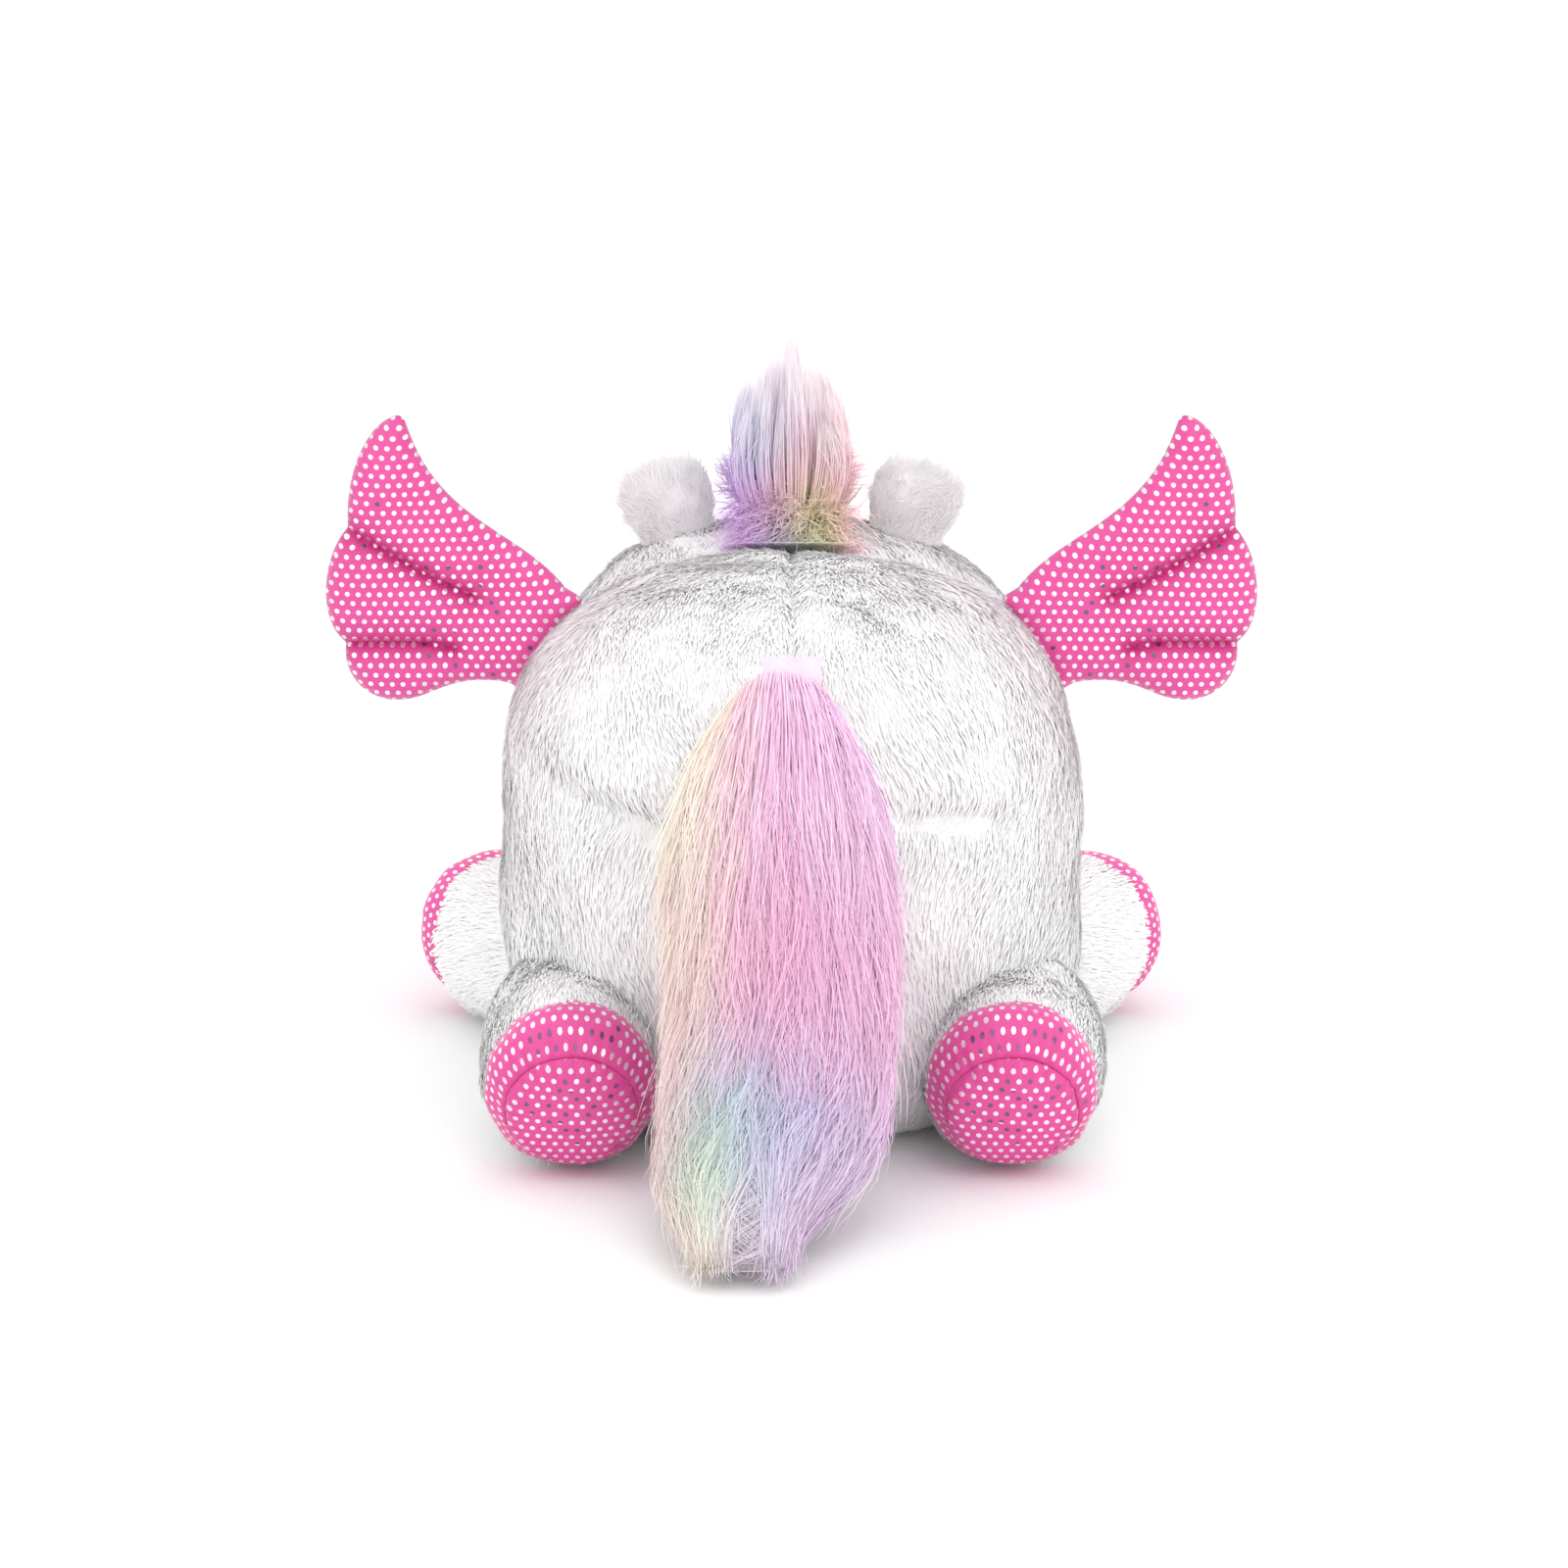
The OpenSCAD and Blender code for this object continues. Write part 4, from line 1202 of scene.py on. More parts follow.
def hoof_rows(length):
    """The foil cloth's side, from the sleeve to the seam round the sole: (along, radius)."""
    start = length - HOOF_LEN - 0.0015
    rows = []
    for k in range(19):
        s = k / 18
        along = start + (HOOF_LEN - 0.001) * s
        plump = HOOF_R * (0.975 + 0.035 * math.sin(math.pi * min(1, s * 1.15)))
        rows.append((along, plump - 0.0062 * max(0.0, (s - 0.45) / 0.55) ** 2.2))
    return rows


def sole_rows(length):
    """The sole, from its seam to its middle: (along, radius)."""
    rim = hoof_rows(length)[-1]
    rows = []
    for k in range(15):
        a = math.pi / 2 * k / 14
        rise = math.sin(a) ** 0.62
        along = rim[0] - 0.0012 + (SOLE_BULGE + 0.0030) * rise
        rows.append((along, max(0.0, rim[1] - 0.0003) * math.cos(a) ** 0.85))
    return rows


def cloth_map(obj, places):
    """Writes each point's place on the flat cloth, in metres, as the cloth UV map."""
    layer = obj.data.uv_layers.new(name="cloth")
    loops = np.zeros(len(obj.data.loops), np.int32)
    obj.data.loops.foreach_get("vertex_index", loops)
    layer.data.foreach_set("uv", np.asarray(places)[loops].astype(np.float32).reshape(-1))


def shade_attribute(obj, name, values):
    layer = obj.data.attributes.new(name, "FLOAT", "POINT")
    layer.data.foreach_set("value", np.clip(values, 0, 1).astype(np.float32))


def hoof_cloth(obj, leg, sole):
    """Wrinkles the foil cloth near its seam and lays it flat for its dots."""
    pivot, way, side, length = leg
    co = coords(obj)
    q = co - pivot
    along = q @ way
    x, z = q @ side, q[:, 2]
    turn = np.arctan2(x, z)
    far = np.hypot(x, z)
    rim = hoof_rows(length)[-1][0]
    close = bell(along - rim, 0.005) if not sole else bell(far - HOOF_R * 0.8, 0.005)
    ruck = np.sin(turn * 34 + 2.0 * np.sin(turn * 3)) * 0.6 + np.sin(turn * 21 + 1.7) * 0.4
    co += unit_rows(normals(obj)) * (0.00035 * ruck * close + 0.0005 * lumps(q, 0.02, 14.0))[:, None]
    set_coords(obj, co)
    # The glint attribute marks foil dots painted dark as reflections: round the middle of the sole, and just
    # below the seam on the band.
    if sole:
        places = np.stack([x, z], axis=1)
        glint = bell(x, 0.012) * bell(z - 0.010, 0.006)
    else:
        places = np.stack([turn * HOOF_R, along], axis=1)
        glint = 0.35 * bell(turn, 0.7) * bell(along - rim + 0.006, 0.005)
    cloth_map(obj, places)
    shade_attribute(obj, "glint", glint)
    # Painted shade: darker pink in the rucks by the seam and round the underside of the hoof.
    shade_attribute(obj, "fold", close * (0.5 + 0.5 * ruck) * 0.6 + 0.25 * bell(z + HOOF_R, 0.012))
    shade_attribute(obj, "worn", 0.5 * close)


def ring_stitches(name, leg, along, radius, out, count, length=0.0027):
    """Machine stitches round a leg's line: short threads that dip into the cloth at both ends."""
    pivot, way, side, _ = leg
    up = np.array([0.0, 0.0, 1.0])
    lines = []
    step = 2 * math.pi / count
    share = length / (radius * step)
    for k in range(count):
        line = []
        for s in range(7):
            u = s / 6
            a = step * (k + share * (u - 0.5))
            lift = radius + out * (math.sin(math.pi * u) ** 0.5 - 0.45)
            line.append(pivot + way * along + lift * (side * math.sin(a) + up * math.cos(a)))
        lines.append(line)
    return dress(threads(name, lines, 0.00032, sides=5), PINK_THREAD)


def leg_pieces():
    for (end, side), leg in LEGS.items():
        pivot, way, _, length = leg
        body = f"{end}_leg_{side}"
        bend = ("body", pivot - way * 0.006, pivot + way * 0.030)
        neck = length - HOOF_LEN
        places = [-LEG_R * math.cos(math.pi / 2 * k / 12) for k in range(12)]
        places += [neck * k / 18 for k in range(19)]
        rows = [(place, leg_radius(place, length)) for place in places]
        rows += [(neck + 0.0015, HOOF_R * 0.97), (neck + 0.001, HOOF_R * 0.93)]
        sleeve = revolved(f"{end}_leg_plush_{side}", rows, 60, leg)
        co = coords(sleeve)
        co -= unit_rows(normals(sleeve)) * leg_relief(co, pivot)[:, None]
        set_coords(sleeve, co)
        rest_on_floor(sleeve, 0.001)
        base = copy_of(sleeve, "base")
        co = coords(base)
        along = (co - pivot) @ way
        drop_points(base, (along > neck + 0.0012) | (body_depth(co) > 0.010) | (head_size(co) < 1))
        lay = np.tile(way * 0.9 - np.array([0, 0, 0.35]), (len(base.data.vertices), 1))
        pile = grow_pile(comb_surface(base, lay), f"{end}_leg_pile_{side}", FINE_TUFTS, PILE_LEN, seed=51,
                         most=22000)
        rest_on_floor(pile, 0.0003)
        dress(with_wall(sleeve, COVER_T), BACKING)
        settle(sleeve, body, "white_plush", f"{end}_leg_cover_{side}", blend=bend)
        settle(pile, body, "white_plush", blend=bend)
        band = revolved(f"{end}_hoof_foil_{side}", hoof_rows(length), 96, leg, closed_ends=False)
        tidy_normals(band)
        hoof_cloth(band, leg, sole=False)
        rest_on_floor(nod_hoof(band, leg))
        dress(with_wall(band, FOIL_CLOTH_T), FOIL_DOTS)
        settle(band, body, "foil_dot_cloth", f"{end}_hoof_band_{side}")
        sole = revolved(f"{end}_hoof_sole_cloth_{side}", sole_rows(length), 96, leg)
        if np.mean([p.normal @ Vector(way) for p in sole.data.polygons]) < 0:
            sole.data.flip_normals()
        hoof_cloth(sole, leg, sole=True)
        rest_on_floor(nod_hoof(sole, leg))
        dress(with_wall(sole, FOIL_CLOTH_T), FOIL_DOTS)
        settle(sole, body, "foil_dot_cloth", f"{end}_hoof_sole_{side}")
        rim = hoof_rows(length)[-1]
        seam = ring_stitches(f"{end}_hoof_stitches_{side}", leg, rim[0] - 0.0022, rim[1] + 0.0010, 0.0006, 56)
        rest_on_floor(nod_hoof(seam, leg), 0.0006)
        settle(seam, body, "foil_dot_cloth")
        filling(f"{end}_leg_filling_{side}", body, f"{end}_leg_stuffing_{side}", blend=bend, shrink=0.0035,
                voxel=0.004)


# ---- Padded wings: two sheets of cloth sewn round the edge and through along two seams ----

def bezier(a, b, c, d, steps):
    a, b, c, d = (np.array(p, float) for p in (a, b, c, d))
    t = (np.arange(steps) / steps)[:, None]
    return a * (1 - t) ** 3 + 3 * b * t * (1 - t) ** 2 + 3 * c * t * t * (1 - t) + d * t ** 3


WING_TILT = math.atan2(25, 41)
WING_OUT = np.array([math.cos(WING_TILT), math.sin(WING_TILT)])
WING_TUCK = 8 * MM
WING_MM = 0.9 * MM
WING_SEAMS = (((81, 48), (66, 39), (48, 27), (27, 18)), ((83, -3), (68, -3), (52, -1), (36, -5)))


def wing_outline():
    """The wing's edge, from behind: outwards and up from the middle of its root."""
    top, end = np.array((-13.0, 20.0)), np.array((12.0, -21.0))
    inner = WING_OUT * WING_TUCK / WING_MM
    parts = [bezier(top, (8, 48), (44, 48), (57, 98), 24),
             bezier((57, 98), (72, 96), (82, 72), (81, 48), 16),
             bezier((81, 48), (93, 36), (96, 6), (83, -3), 14),
             bezier((83, -3), (86, -20), (72, -31), (58, -28.5), 10),
             bezier((58, -28.5), (45, -27), (38, -16), end, 12),
             bezier(end, end - inner / 3, end - inner / 2, end - inner, 3),
             bezier(end - inner, (end * 2 + top) / 3 - inner, (end + top * 2) / 3 - inner, top - inner, 14),
             bezier(top - inner, top - inner / 2, top - inner / 3, top, 3)]
    ring = np.concatenate(parts)
    closed = np.concatenate([ring, ring[:1]])
    return even_steps(closed, 171)[:-1] * WING_MM


def wing_seam(points, notch):
    """One quilting line, from the edge's notch inwards."""
    line = np.concatenate([bezier(*points, 20), [points[3]]]) * WING_MM
    line[0] = notch
    return even_steps(line, int(np.linalg.norm(line[-1] - line[0]) / 0.0025) + 2)


def gap_to(points, path):
    """Distance from each point to the nearest point of a path."""
    return np.min(np.linalg.norm(points[:, None, :] - path[None, :, :], axis=2), axis=1)


def inside_ring(points, ring):
    x, y = points[:, 0], points[:, 1]
    crossed = np.zeros(len(points), bool)
    for (x1, y1), (x2, y2) in zip(ring, np.roll(ring, -1, axis=0)):
        across = (y1 > y) != (y2 > y)
        at = (x2 - x1) * (y - y1) / ((y2 - y1) if y2 != y1 else 1e-12) + x1
        crossed ^= across & (x < at)
    return crossed


def wing_net():
    """Flat points and triangles of a wing, and which points lie on its edge and its seams."""
    ring = wing_outline()
    notches = [ring[np.argmin(np.linalg.norm(ring - np.array(s[0]) * WING_MM, axis=1))] for s in WING_SEAMS]
    seams = [wing_seam(s, n) for s, n in zip(WING_SEAMS, notches)]
    pitch = 0.0026
    grid = [(x * pitch + (y % 2) * pitch / 2, y * pitch * 0.866)
            for x in range(-16, 44) for y in range(-22, 50)]
    grid = np.array(grid)
    sewn = np.concatenate([ring] + seams)
    grid = grid[inside_ring(grid, ring) & (gap_to(grid, sewn) > pitch * 0.62)]
    points = [tuple(p) for p in ring]
    edges = [(k, (k + 1) % len(ring)) for k in range(len(ring))]
    for seam, notch in zip(seams, notches):
        first = int(np.argmin(np.linalg.norm(ring - notch, axis=1)))
        last = first
        for p in seam[1:]:
            points.append(tuple(p))
            edges.append((last, len(points) - 1))
            last = len(points) - 1
    points += [tuple(p) for p in grid]
    flat, _, faces, _, _, _ = geometry.delaunay_2d_cdt([Vector(p) for p in points], edges, [], 1, 1e-6)
    flat = np.array([tuple(p) for p in flat])
    on_ring = gap_to(flat, ring) < 1e-5
    on_seam = np.min([gap_to(flat, s) for s in seams], axis=0) < 1e-5
    return flat, [tuple(f) for f in faces], on_ring, on_seam, ring, seams


def sheet_pair(name, net, place):
    """Both sheets of a wing as one mesh, joined where they are sewn.

    place turns flat points and a height into places in space.
    """
    flat, faces, on_ring, on_seam, ring, seams = net
    sewn = on_ring | on_seam
    gap = np.minimum(gap_to(flat, ring), np.min([gap_to(flat, s) for s in seams], axis=0))
    height = 0.0080 * np.sqrt(1 - (1 - np.clip(gap / 0.016, 0, 1)) ** 2) + 0.0002
    height[sewn] = 0
    twin = np.arange(len(flat))
    extra = np.flatnonzero(~sewn)
    twin[extra] = len(flat) + np.arange(len(extra))
    points = np.concatenate([place(flat, height), place(flat[extra], -height[extra])])
    quilt = [tuple(f) for f in faces] + [tuple(int(twin[v]) for v in reversed(f)) for f in faces]
    obj = smooth_mesh(name, points, quilt)
    cloth_places = np.concatenate([flat, flat[extra]])
    cloth_map(obj, cloth_places)
    folds = np.concatenate([gap, gap[extra]])
    near_seam = np.min([gap_to(cloth_places, s) for s in seams], axis=0)
    ends = np.min([np.linalg.norm(cloth_places - s[-1], axis=1) for s in seams], axis=0)
    # Painted shade: darker pink along the quilting seams and close to the sewn edge.
    shade_attribute(obj, "fold", bell(near_seam, 0.0042) + 0.35 * bell(folds, 0.002))
    # The glint attribute marks foil dots painted dark as reflections: round the inner ends of the seams and a
    # little along them.
    shade_attribute(obj, "glint", 0.5 * bell(ends, 0.007) + 0.12 * bell(near_seam, 0.006))
    shade_attribute(obj, "worn", 0.25 * bell(folds, 0.003))
    return obj, len(faces)


CLOTH = {"quality": 7, "mass": 0.12, "tension_stiffness": 22, "compression_stiffness": 22,
         "shear_stiffness": 9, "bending_stiffness": 0.12, "air_damping": 3, "use_pressure": True}


def puff_up(obj, pinned, pressure, cap, frames=20):
    """Cloth simulation: the sewn sheets are blown up by their filling, and wrinkle at their seams."""
    start = coords(obj)
    held = obj.vertex_groups.new(name="held")
    held.add([int(k) for k in np.flatnonzero(pinned)], 1.0, "REPLACE")
    cloth = obj.modifiers.new("Filling", "CLOTH")
    for setting, value in CLOTH.items():
        setattr(cloth.settings, setting, value)
    cloth.settings.uniform_pressure_force = pressure
    cloth.settings.vertex_group_mass = "held"
    cloth.settings.effector_weights.gravity = 0
    scene = bpy.context.scene
    for step in range(1, frames + 1):
        scene.frame_set(step)
    made_plain(obj)
    scene.frame_set(1)
    move = coords(obj) - start
    far = np.linalg.norm(move, axis=1, keepdims=True)
    set_coords(obj, start + move * np.minimum(1, cap / np.maximum(far, 1e-9)))
    obj.vertex_groups.clear()
    return obj


def wing_pieces():
    net = wing_net()
    flat, _, _, _, _, seams = net
    root = joint_place("wing_flap_left")

    def place(points, height):
        points = np.asarray(points, float)
        sway = 0.0012 * np.sin(points[:, 0] / 0.03)
        return np.stack([root[0] + points[:, 0], root[1] + np.asarray(height) + sway, root[2] + points[:, 1]],
                        axis=1)

    both, faces = sheet_pair("wing_sheets", net, place)
    co = coords(both)
    out = (co[:, 0] - root[0]) * WING_OUT[0] + (co[:, 2] - root[2]) * WING_OUT[1]
    puff_up(both, out < -0.004, 5.0, 0.010)
    stitched = seam_lines(both, flat, seams)
    padding = copy_of(both, "wing_padding_core")
    rear, front = copy_of(both, "rear"), copy_of(both, "front")
    keep_faces(rear, range(faces))
    keep_faces(front, range(faces, 2 * faces))
    bpy.data.objects.remove(both)
    for sheet in (rear, front):
        with_wall(smoother(sheet), WING_CLOTH_T)
    co = coords(padding)
    co[:, 1] = root[1] + (co[:, 1] - root[1]) * 0.72
    set_coords(padding, co)
    remeshed(padding, 0.0016)
    for side, sign in SIDES:
        flip, outwards = np.array([sign, 1, 1]), np.array([WING_OUT[0], 0, WING_OUT[1]])
        bend = ("body", flip * (root - outwards * 0.004), flip * (root + outwards * 0.014))
        body = "wing_" + side
        for sheet, node in ((rear, "wing_rear_cover_"), (front, "wing_front_cover_")):
            piece = sided(sheet, node.replace("cover_", "cloth_") + side, sign)
            dress(piece, FOIL_DOTS)
            settle(piece, body, "foil_dot_cloth", node + side, fill=0.8, blend=bend)
        core = sided(padding, "wing_fibre_" + side, sign)
        dress(core, FIBRE)
        settle(core, body, "fibre_fill", "wing_padding_" + side, fill=0.8, blend=bend)
        sewing = sided(stitched, "wing_quilting_" + side, sign)
        dress(sewing, PINK_THREAD)
        settle(sewing, body, "foil_dot_cloth", blend=bend)
    for obj in (rear, front, padding, stitched):
        bpy.data.objects.remove(obj)


def sided(obj, name, sign):
    """A copy for the left side, or its mirror image for the right."""
    twin = copy_of(obj, name)
    if sign < 0:
        set_coords(twin, mirrored(coords(twin)))
        twin.data.flip_normals()
    return twin


def keep_faces(obj, wanted):
    wanted = set(wanted)
    bm = bmesh.new()
    bm.from_mesh(obj.data)
    bmesh.ops.delete(bm, geom=[f for f in bm.faces if f.index not in wanted], context="FACES")
    bm.to_mesh(obj.data)
    bm.free()
    obj.data.update()


def seam_lines(both, flat, seams):
    """Running stitches on both faces of a wing, where the filled sheets are sewn through."""
    co = coords(both)[:len(flat)]
    lines = []
    for seam in seams:
        order = [int(np.argmin(np.linalg.norm(flat - p, axis=1))) for p in seam]
        path = even_steps(co[order], 121)
        dash = 5
        for k in range(6, 114, dash + 2):
            for face in (-1, 1):
                run = path[k:k + dash].copy()
                run[:, 1] += face * np.array([0.0003, 0.0010, 0.0012, 0.0010, 0.0003])[:len(run)]
                lines.append(run)
    return threads("wing_stitches", lines, 0.00028, sides=5)


# ---- Long dyed pile: the tail and the mane ----

def linear(colour):
    """A colour in 0 to 255 turned to scene light."""
    c = np.array(colour, float) / 255
    return np.where(c <= 0.04045, c / 12.92, ((c + 0.055) / 1.055) ** 2.4)


def dyed(places, patches):
    """Blends the dye patches by nearness: each is (along, across, reach along, reach across, colour)."""
    total = np.zeros((len(places), 3))
    weight = np.zeros(len(places))
    for along, across, reach, wide, colour in patches:
        w = bell(places[:, 0] - along, reach) * bell(places[:, 1] - across, wide) + 1e-9
        total += w[:, None] * linear(colour)
        weight += w
    return total / weight[:, None]


def dye(obj, tones):
    """Writes each point's dye and gives the pile its material."""
    layer = obj.data.attributes.new("tint", "FLOAT_COLOR", "POINT")
    rgba = np.concatenate([tones, np.ones((*tones.shape[:-1], 1))], axis=-1)
    layer.data.foreach_set("color", rgba.reshape(-1).astype(np.float32))
    return dress(obj, DYED_PILE)


def ribbons(name, paths, width, face, tint, jitter, rng):
    """Long fine hairs: flat ribbons that follow paths (hairs, steps, 3) and end in points."""
    count, steps, _ = paths.shape
    ahead = np.gradient(paths, axis=1)
    side = np.cross(ahead, face[:, None, :])
    side = unit_rows(side)
    shares = np.linspace(0, 1, steps)
    wide = width[:, None] * (1 - 0.75 * shares[None, :] ** 2.5)
    left = paths - side * wide[:, :, None] / 2
    right = paths + side * wide[:, :, None] / 2
    both = np.stack([left[:, :-1], right[:, :-1]], axis=2).reshape(count, 2 * (steps - 1), 3)
    points = np.concatenate([both, paths[:, -1:]], axis=1)
    per = 2 * (steps - 1) + 1
    faces = [(2 * k, 2 * k + 1, 2 * k + 3, 2 * k + 2) for k in range(steps - 2)]
    faces.append((per - 3, per - 2, per - 1))
    obj = strips_mesh(name, points, per, faces)
    tones = np.clip(tint * (1 + rng.normal(0, jitter, (count, 1, 1))), 0, 1)
    tones = np.repeat(tones[:, :-1], 2, axis=1)
    tones = np.concatenate([tones, np.clip(tint[:, -1:], 0, 1)], axis=1)
    return dye(obj, tones)


TAIL_GAP = 0.004
TAIL_HALF_T = 0.023
TAIL_SHARES = np.array([0.26, 0.56, 0.84, 0.98, 1.0, 0.9, 0.7, 0.34])
TAIL_WIDTHS = np.array([0.036, 0.0415, 0.0435, 0.0445, 0.0440, 0.0420, 0.0370, 0.0270])


def tail_line():
    """The tail's middle line behind the body's axis: down the rump, then back along the floor."""
    root = BODY_H - 0.026

    def beside(share, thick):
        return (float(body_radius(root * share)) + TAIL_GAP + thick * TAIL_HALF_T, root * share)

    return np.array([(float(body_radius(root)) + TAIL_GAP, root + 3 * TAIL_GAP),
                     beside(0.88, 0.62), beside(0.72, 0.88), beside(0.52, 1.0),
                     (BODY_R + TAIL_GAP + TAIL_HALF_T + 0.006, root * 0.32),
                     (BODY_R + TAIL_HALF_T + 0.026, TAIL_HALF_T + 0.009),
                     (BODY_R + 2 * TAIL_HALF_T + 0.040, TAIL_HALF_T * 0.84),
                     (BODY_R + 0.121, TAIL_HALF_T * 0.35)])


def rounded_line(points, rounds=3):
    """Corner cutting: the same line without its corners, with its ends kept."""
    for _ in range(rounds):
        cut = [points[0]]
        for a, b in zip(points[:-1], points[1:]):
            cut += [0.75 * a + 0.25 * b, 0.25 * a + 0.75 * b]
        points = np.array(cut + [points[-1]])
    return points


class TailRoute:
    """Turns places in the tail (along, across, outwards) into points."""

    def __init__(self):
        knots = tail_line()
        run = np.concatenate([[0], np.cumsum(np.linalg.norm(np.diff(knots, axis=0), axis=1))])
        self.knot_shares = run / run[-1]
        self.line = even_steps(rounded_line(knots), 200)
        self.shares = np.linspace(0, 1, 200)
        self.length = run[-1]

    def width(self, s):
        return np.interp(s, self.knot_shares, TAIL_WIDTHS)

    def thick(self, s):
        return np.interp(s, self.knot_shares, TAIL_SHARES) * TAIL_HALF_T

    def point(self, s, across, out):
        """across and out are shares of the half width and half thickness."""
        base = np.stack([np.interp(s, self.shares, self.line[:, k]) for k in (0, 1)], axis=-1)
        later = np.stack([np.interp(s + 0.01, self.shares, self.line[:, k]) for k in (0, 1)], axis=-1)
        sooner = np.stack([np.interp(s - 0.01, self.shares, self.line[:, k]) for k in (0, 1)], axis=-1)
        way = later - sooner
        way = unit_rows(way)
        over = np.maximum(s - 1, 0) * self.length
        base = base + way * over[..., None]
        outward = np.stack([-way[..., 1], way[..., 0]], axis=-1)
        middle = 0.004 + 0.011 * ease((s - 0.55) / 0.45)
        part = ease((s - 0.80) / 0.22)
        tuft = np.where(across > 0, 0.50, -0.42)
        across = across * (1 - part) + (tuft + 0.40 * (across - tuft)) * part
        across = np.where(across < 0, across * (1 - 0.30 * ease((s - 0.70) / 0.28)), across)
        x = middle + self.width(s) * across
        yz = base + outward * (self.thick(s) * out)[..., None]
        return np.stack([x, BODY_Y + yz[..., 0], yz[..., 1]], axis=-1), outward


TAIL_DYES = [
    (0.00, 0.6, 0.07, 0.45, (251, 246, 208)), (0.02, -0.2, 0.08, 0.40, (238, 214, 244)),
    (0.03, -0.9, 0.08, 0.35, (240, 222, 246)), (0.17, 0.85, 0.12, 0.32, (252, 241, 209)),
    (0.15, 0.1, 0.09, 0.30, (242, 196, 236)), (0.18, -0.7, 0.10, 0.35, (240, 200, 240)),
    (0.31, 0.85, 0.10, 0.32, (253, 228, 212)), (0.30, 0.1, 0.12, 0.33, (250, 142, 208)),
    (0.32, -0.65, 0.12, 0.33, (249, 168, 220)), (0.44, 0.85, 0.09, 0.30, (253, 219, 208)),
    (0.44, 0.0, 0.10, 0.35, (250, 152, 210)), (0.47, -0.75, 0.09, 0.30, (247, 172, 224)),
    (0.55, 0.35, 0.05, 0.22, (186, 198, 245)), (0.56, -0.25, 0.06, 0.28, (219, 188, 240)),
    (0.56, 0.95, 0.08, 0.25, (252, 210, 210)), (0.58, -0.85, 0.06, 0.25, (238, 180, 228)),
    (0.66, 0.45, 0.06, 0.24, (180, 232, 220)), (0.68, -0.05, 0.06, 0.26, (192, 198, 242)),
    (0.70, -0.65, 0.07, 0.28, (214, 184, 232)), (0.70, 0.98, 0.08, 0.22, (252, 202, 212)),
    (0.81, 0.5, 0.06, 0.26, (204, 238, 206)), (0.80, -0.2, 0.06, 0.26, (208, 198, 240)),
    (0.84, -0.9, 0.07, 0.25, (212, 168, 212)), (0.84, 0.95, 0.06, 0.22, (253, 222, 208)),
    (0.95, 0.6, 0.06, 0.35, (254, 234, 216)), (0.94, -0.35, 0.06, 0.30, (226, 202, 236)),
    (1.03, -0.6, 0.06, 0.40, (216, 182, 216)),
]


def tail_hairs(count, seed):
    """Paths of the tail's hairs, their faces and their colours."""
    rng = np.random.default_rng(seed)
    route = TailRoute()
    steps = 8
    t = np.linspace(0, 1, steps)[None, :]
    start = rng.uniform(-0.02, 0.80, count)
    turn = rng.uniform(-0.42, math.pi + 0.42, count)
    locks = 420
    start = np.maximum(start, rng.uniform(0.015, 0.05, count) + 0.05 * np.abs(np.cos(turn)) ** 3)
    lock_start = rng.uniform(-0.02, 0.80, locks)
    lock_turn = rng.uniform(-0.42, math.pi + 0.42, locks)
    lock = nearest_lock(np.stack([start * 7, turn], 1), np.stack([lock_start * 7, lock_turn], 1))
    length = rng.uniform(0.055, 0.092, count) / route.length
    rise = rng.uniform(0.5, 1.0, locks)[lock] * 0.75 + rng.uniform(0.45, 1.02, count) * 0.3
    root = rng.uniform(0.30, 0.55, count)
    s = start[:, None] + length[:, None] * t
    s = np.minimum(s, 1.045 + 0.01 * rng.normal(size=(count, 1)))
    gather = 0.56 * t ** 1.6
    shared = lock_turn[lock] + rng.normal(0, 0.12, locks)[lock]
    angle = turn[:, None] * (1 - gather) + shared[:, None] * gather
    wave = rng.uniform(0, 2 * math.pi, locks)[lock][:, None]
    angle += 0.09 * np.sin(2 * math.pi * t * 0.9 + wave) * t
    reach = root[:, None] + (rise - root)[:, None] * (1 - (1 - t) ** 2.2)
    reach = reach + 0.05 * np.sin(2 * math.pi * t * 1.1 + wave * 1.7) * t
    across, out = reach * np.cos(angle), reach * np.sin(angle)
    points, outward = route.point(s, across, out)
    stray = (rng.uniform(size=count) < 0.09)[:, None] * rng.uniform(0.002, 0.013, (count, 1))
    push = rng.normal(size=(count, 3))
    push /= np.linalg.norm(push, axis=1, keepdims=True)
    points += (push[:, None, :] * (stray * t ** 2)[:, :, None])
    points += 0.0012 * t[:, :, None] * rng.normal(size=(count, 1, 3))
    points[:, :, 2] = np.maximum(points[:, :, 2], 0.0006 + 0.002 * rng.uniform(size=(count, 1)))
    crown = bell(start, 0.035)[:, None] * np.sin(math.pi * np.minimum(t * 1.5, 1))
    points[:, :, 2] += crown * rng.uniform(0.001, 0.010, (count, 1))
    points[:, :, 1] += crown * rng.uniform(0.0, 0.006, (count, 1))
    middle = np.stack([start + 0.55 * length, 0.5 * across[:, 3] + 0.5 * across[:, -1]], axis=1)
    middle[:, 0] += 0.03 * rng.normal(size=count)
    middle[:, 1] += 0.10 * rng.normal(size=count)
    colour = dyed(middle, TAIL_DYES)
    tint = np.repeat(colour[:, None, :], steps, axis=1)
    # Painted light: every hair's dye is lifted towards white to brighten hairs darkened by the shade among
    # them, and lifted more towards the tips.
    tint = tint + (1 - tint) * (0.16 + 0.20 * t ** 2)[:, :, None]
    face = np.concatenate([rng.normal(0, 0.5, (count, 1)), outward[:, 0]], axis=1)
    return points, face, tint, rng


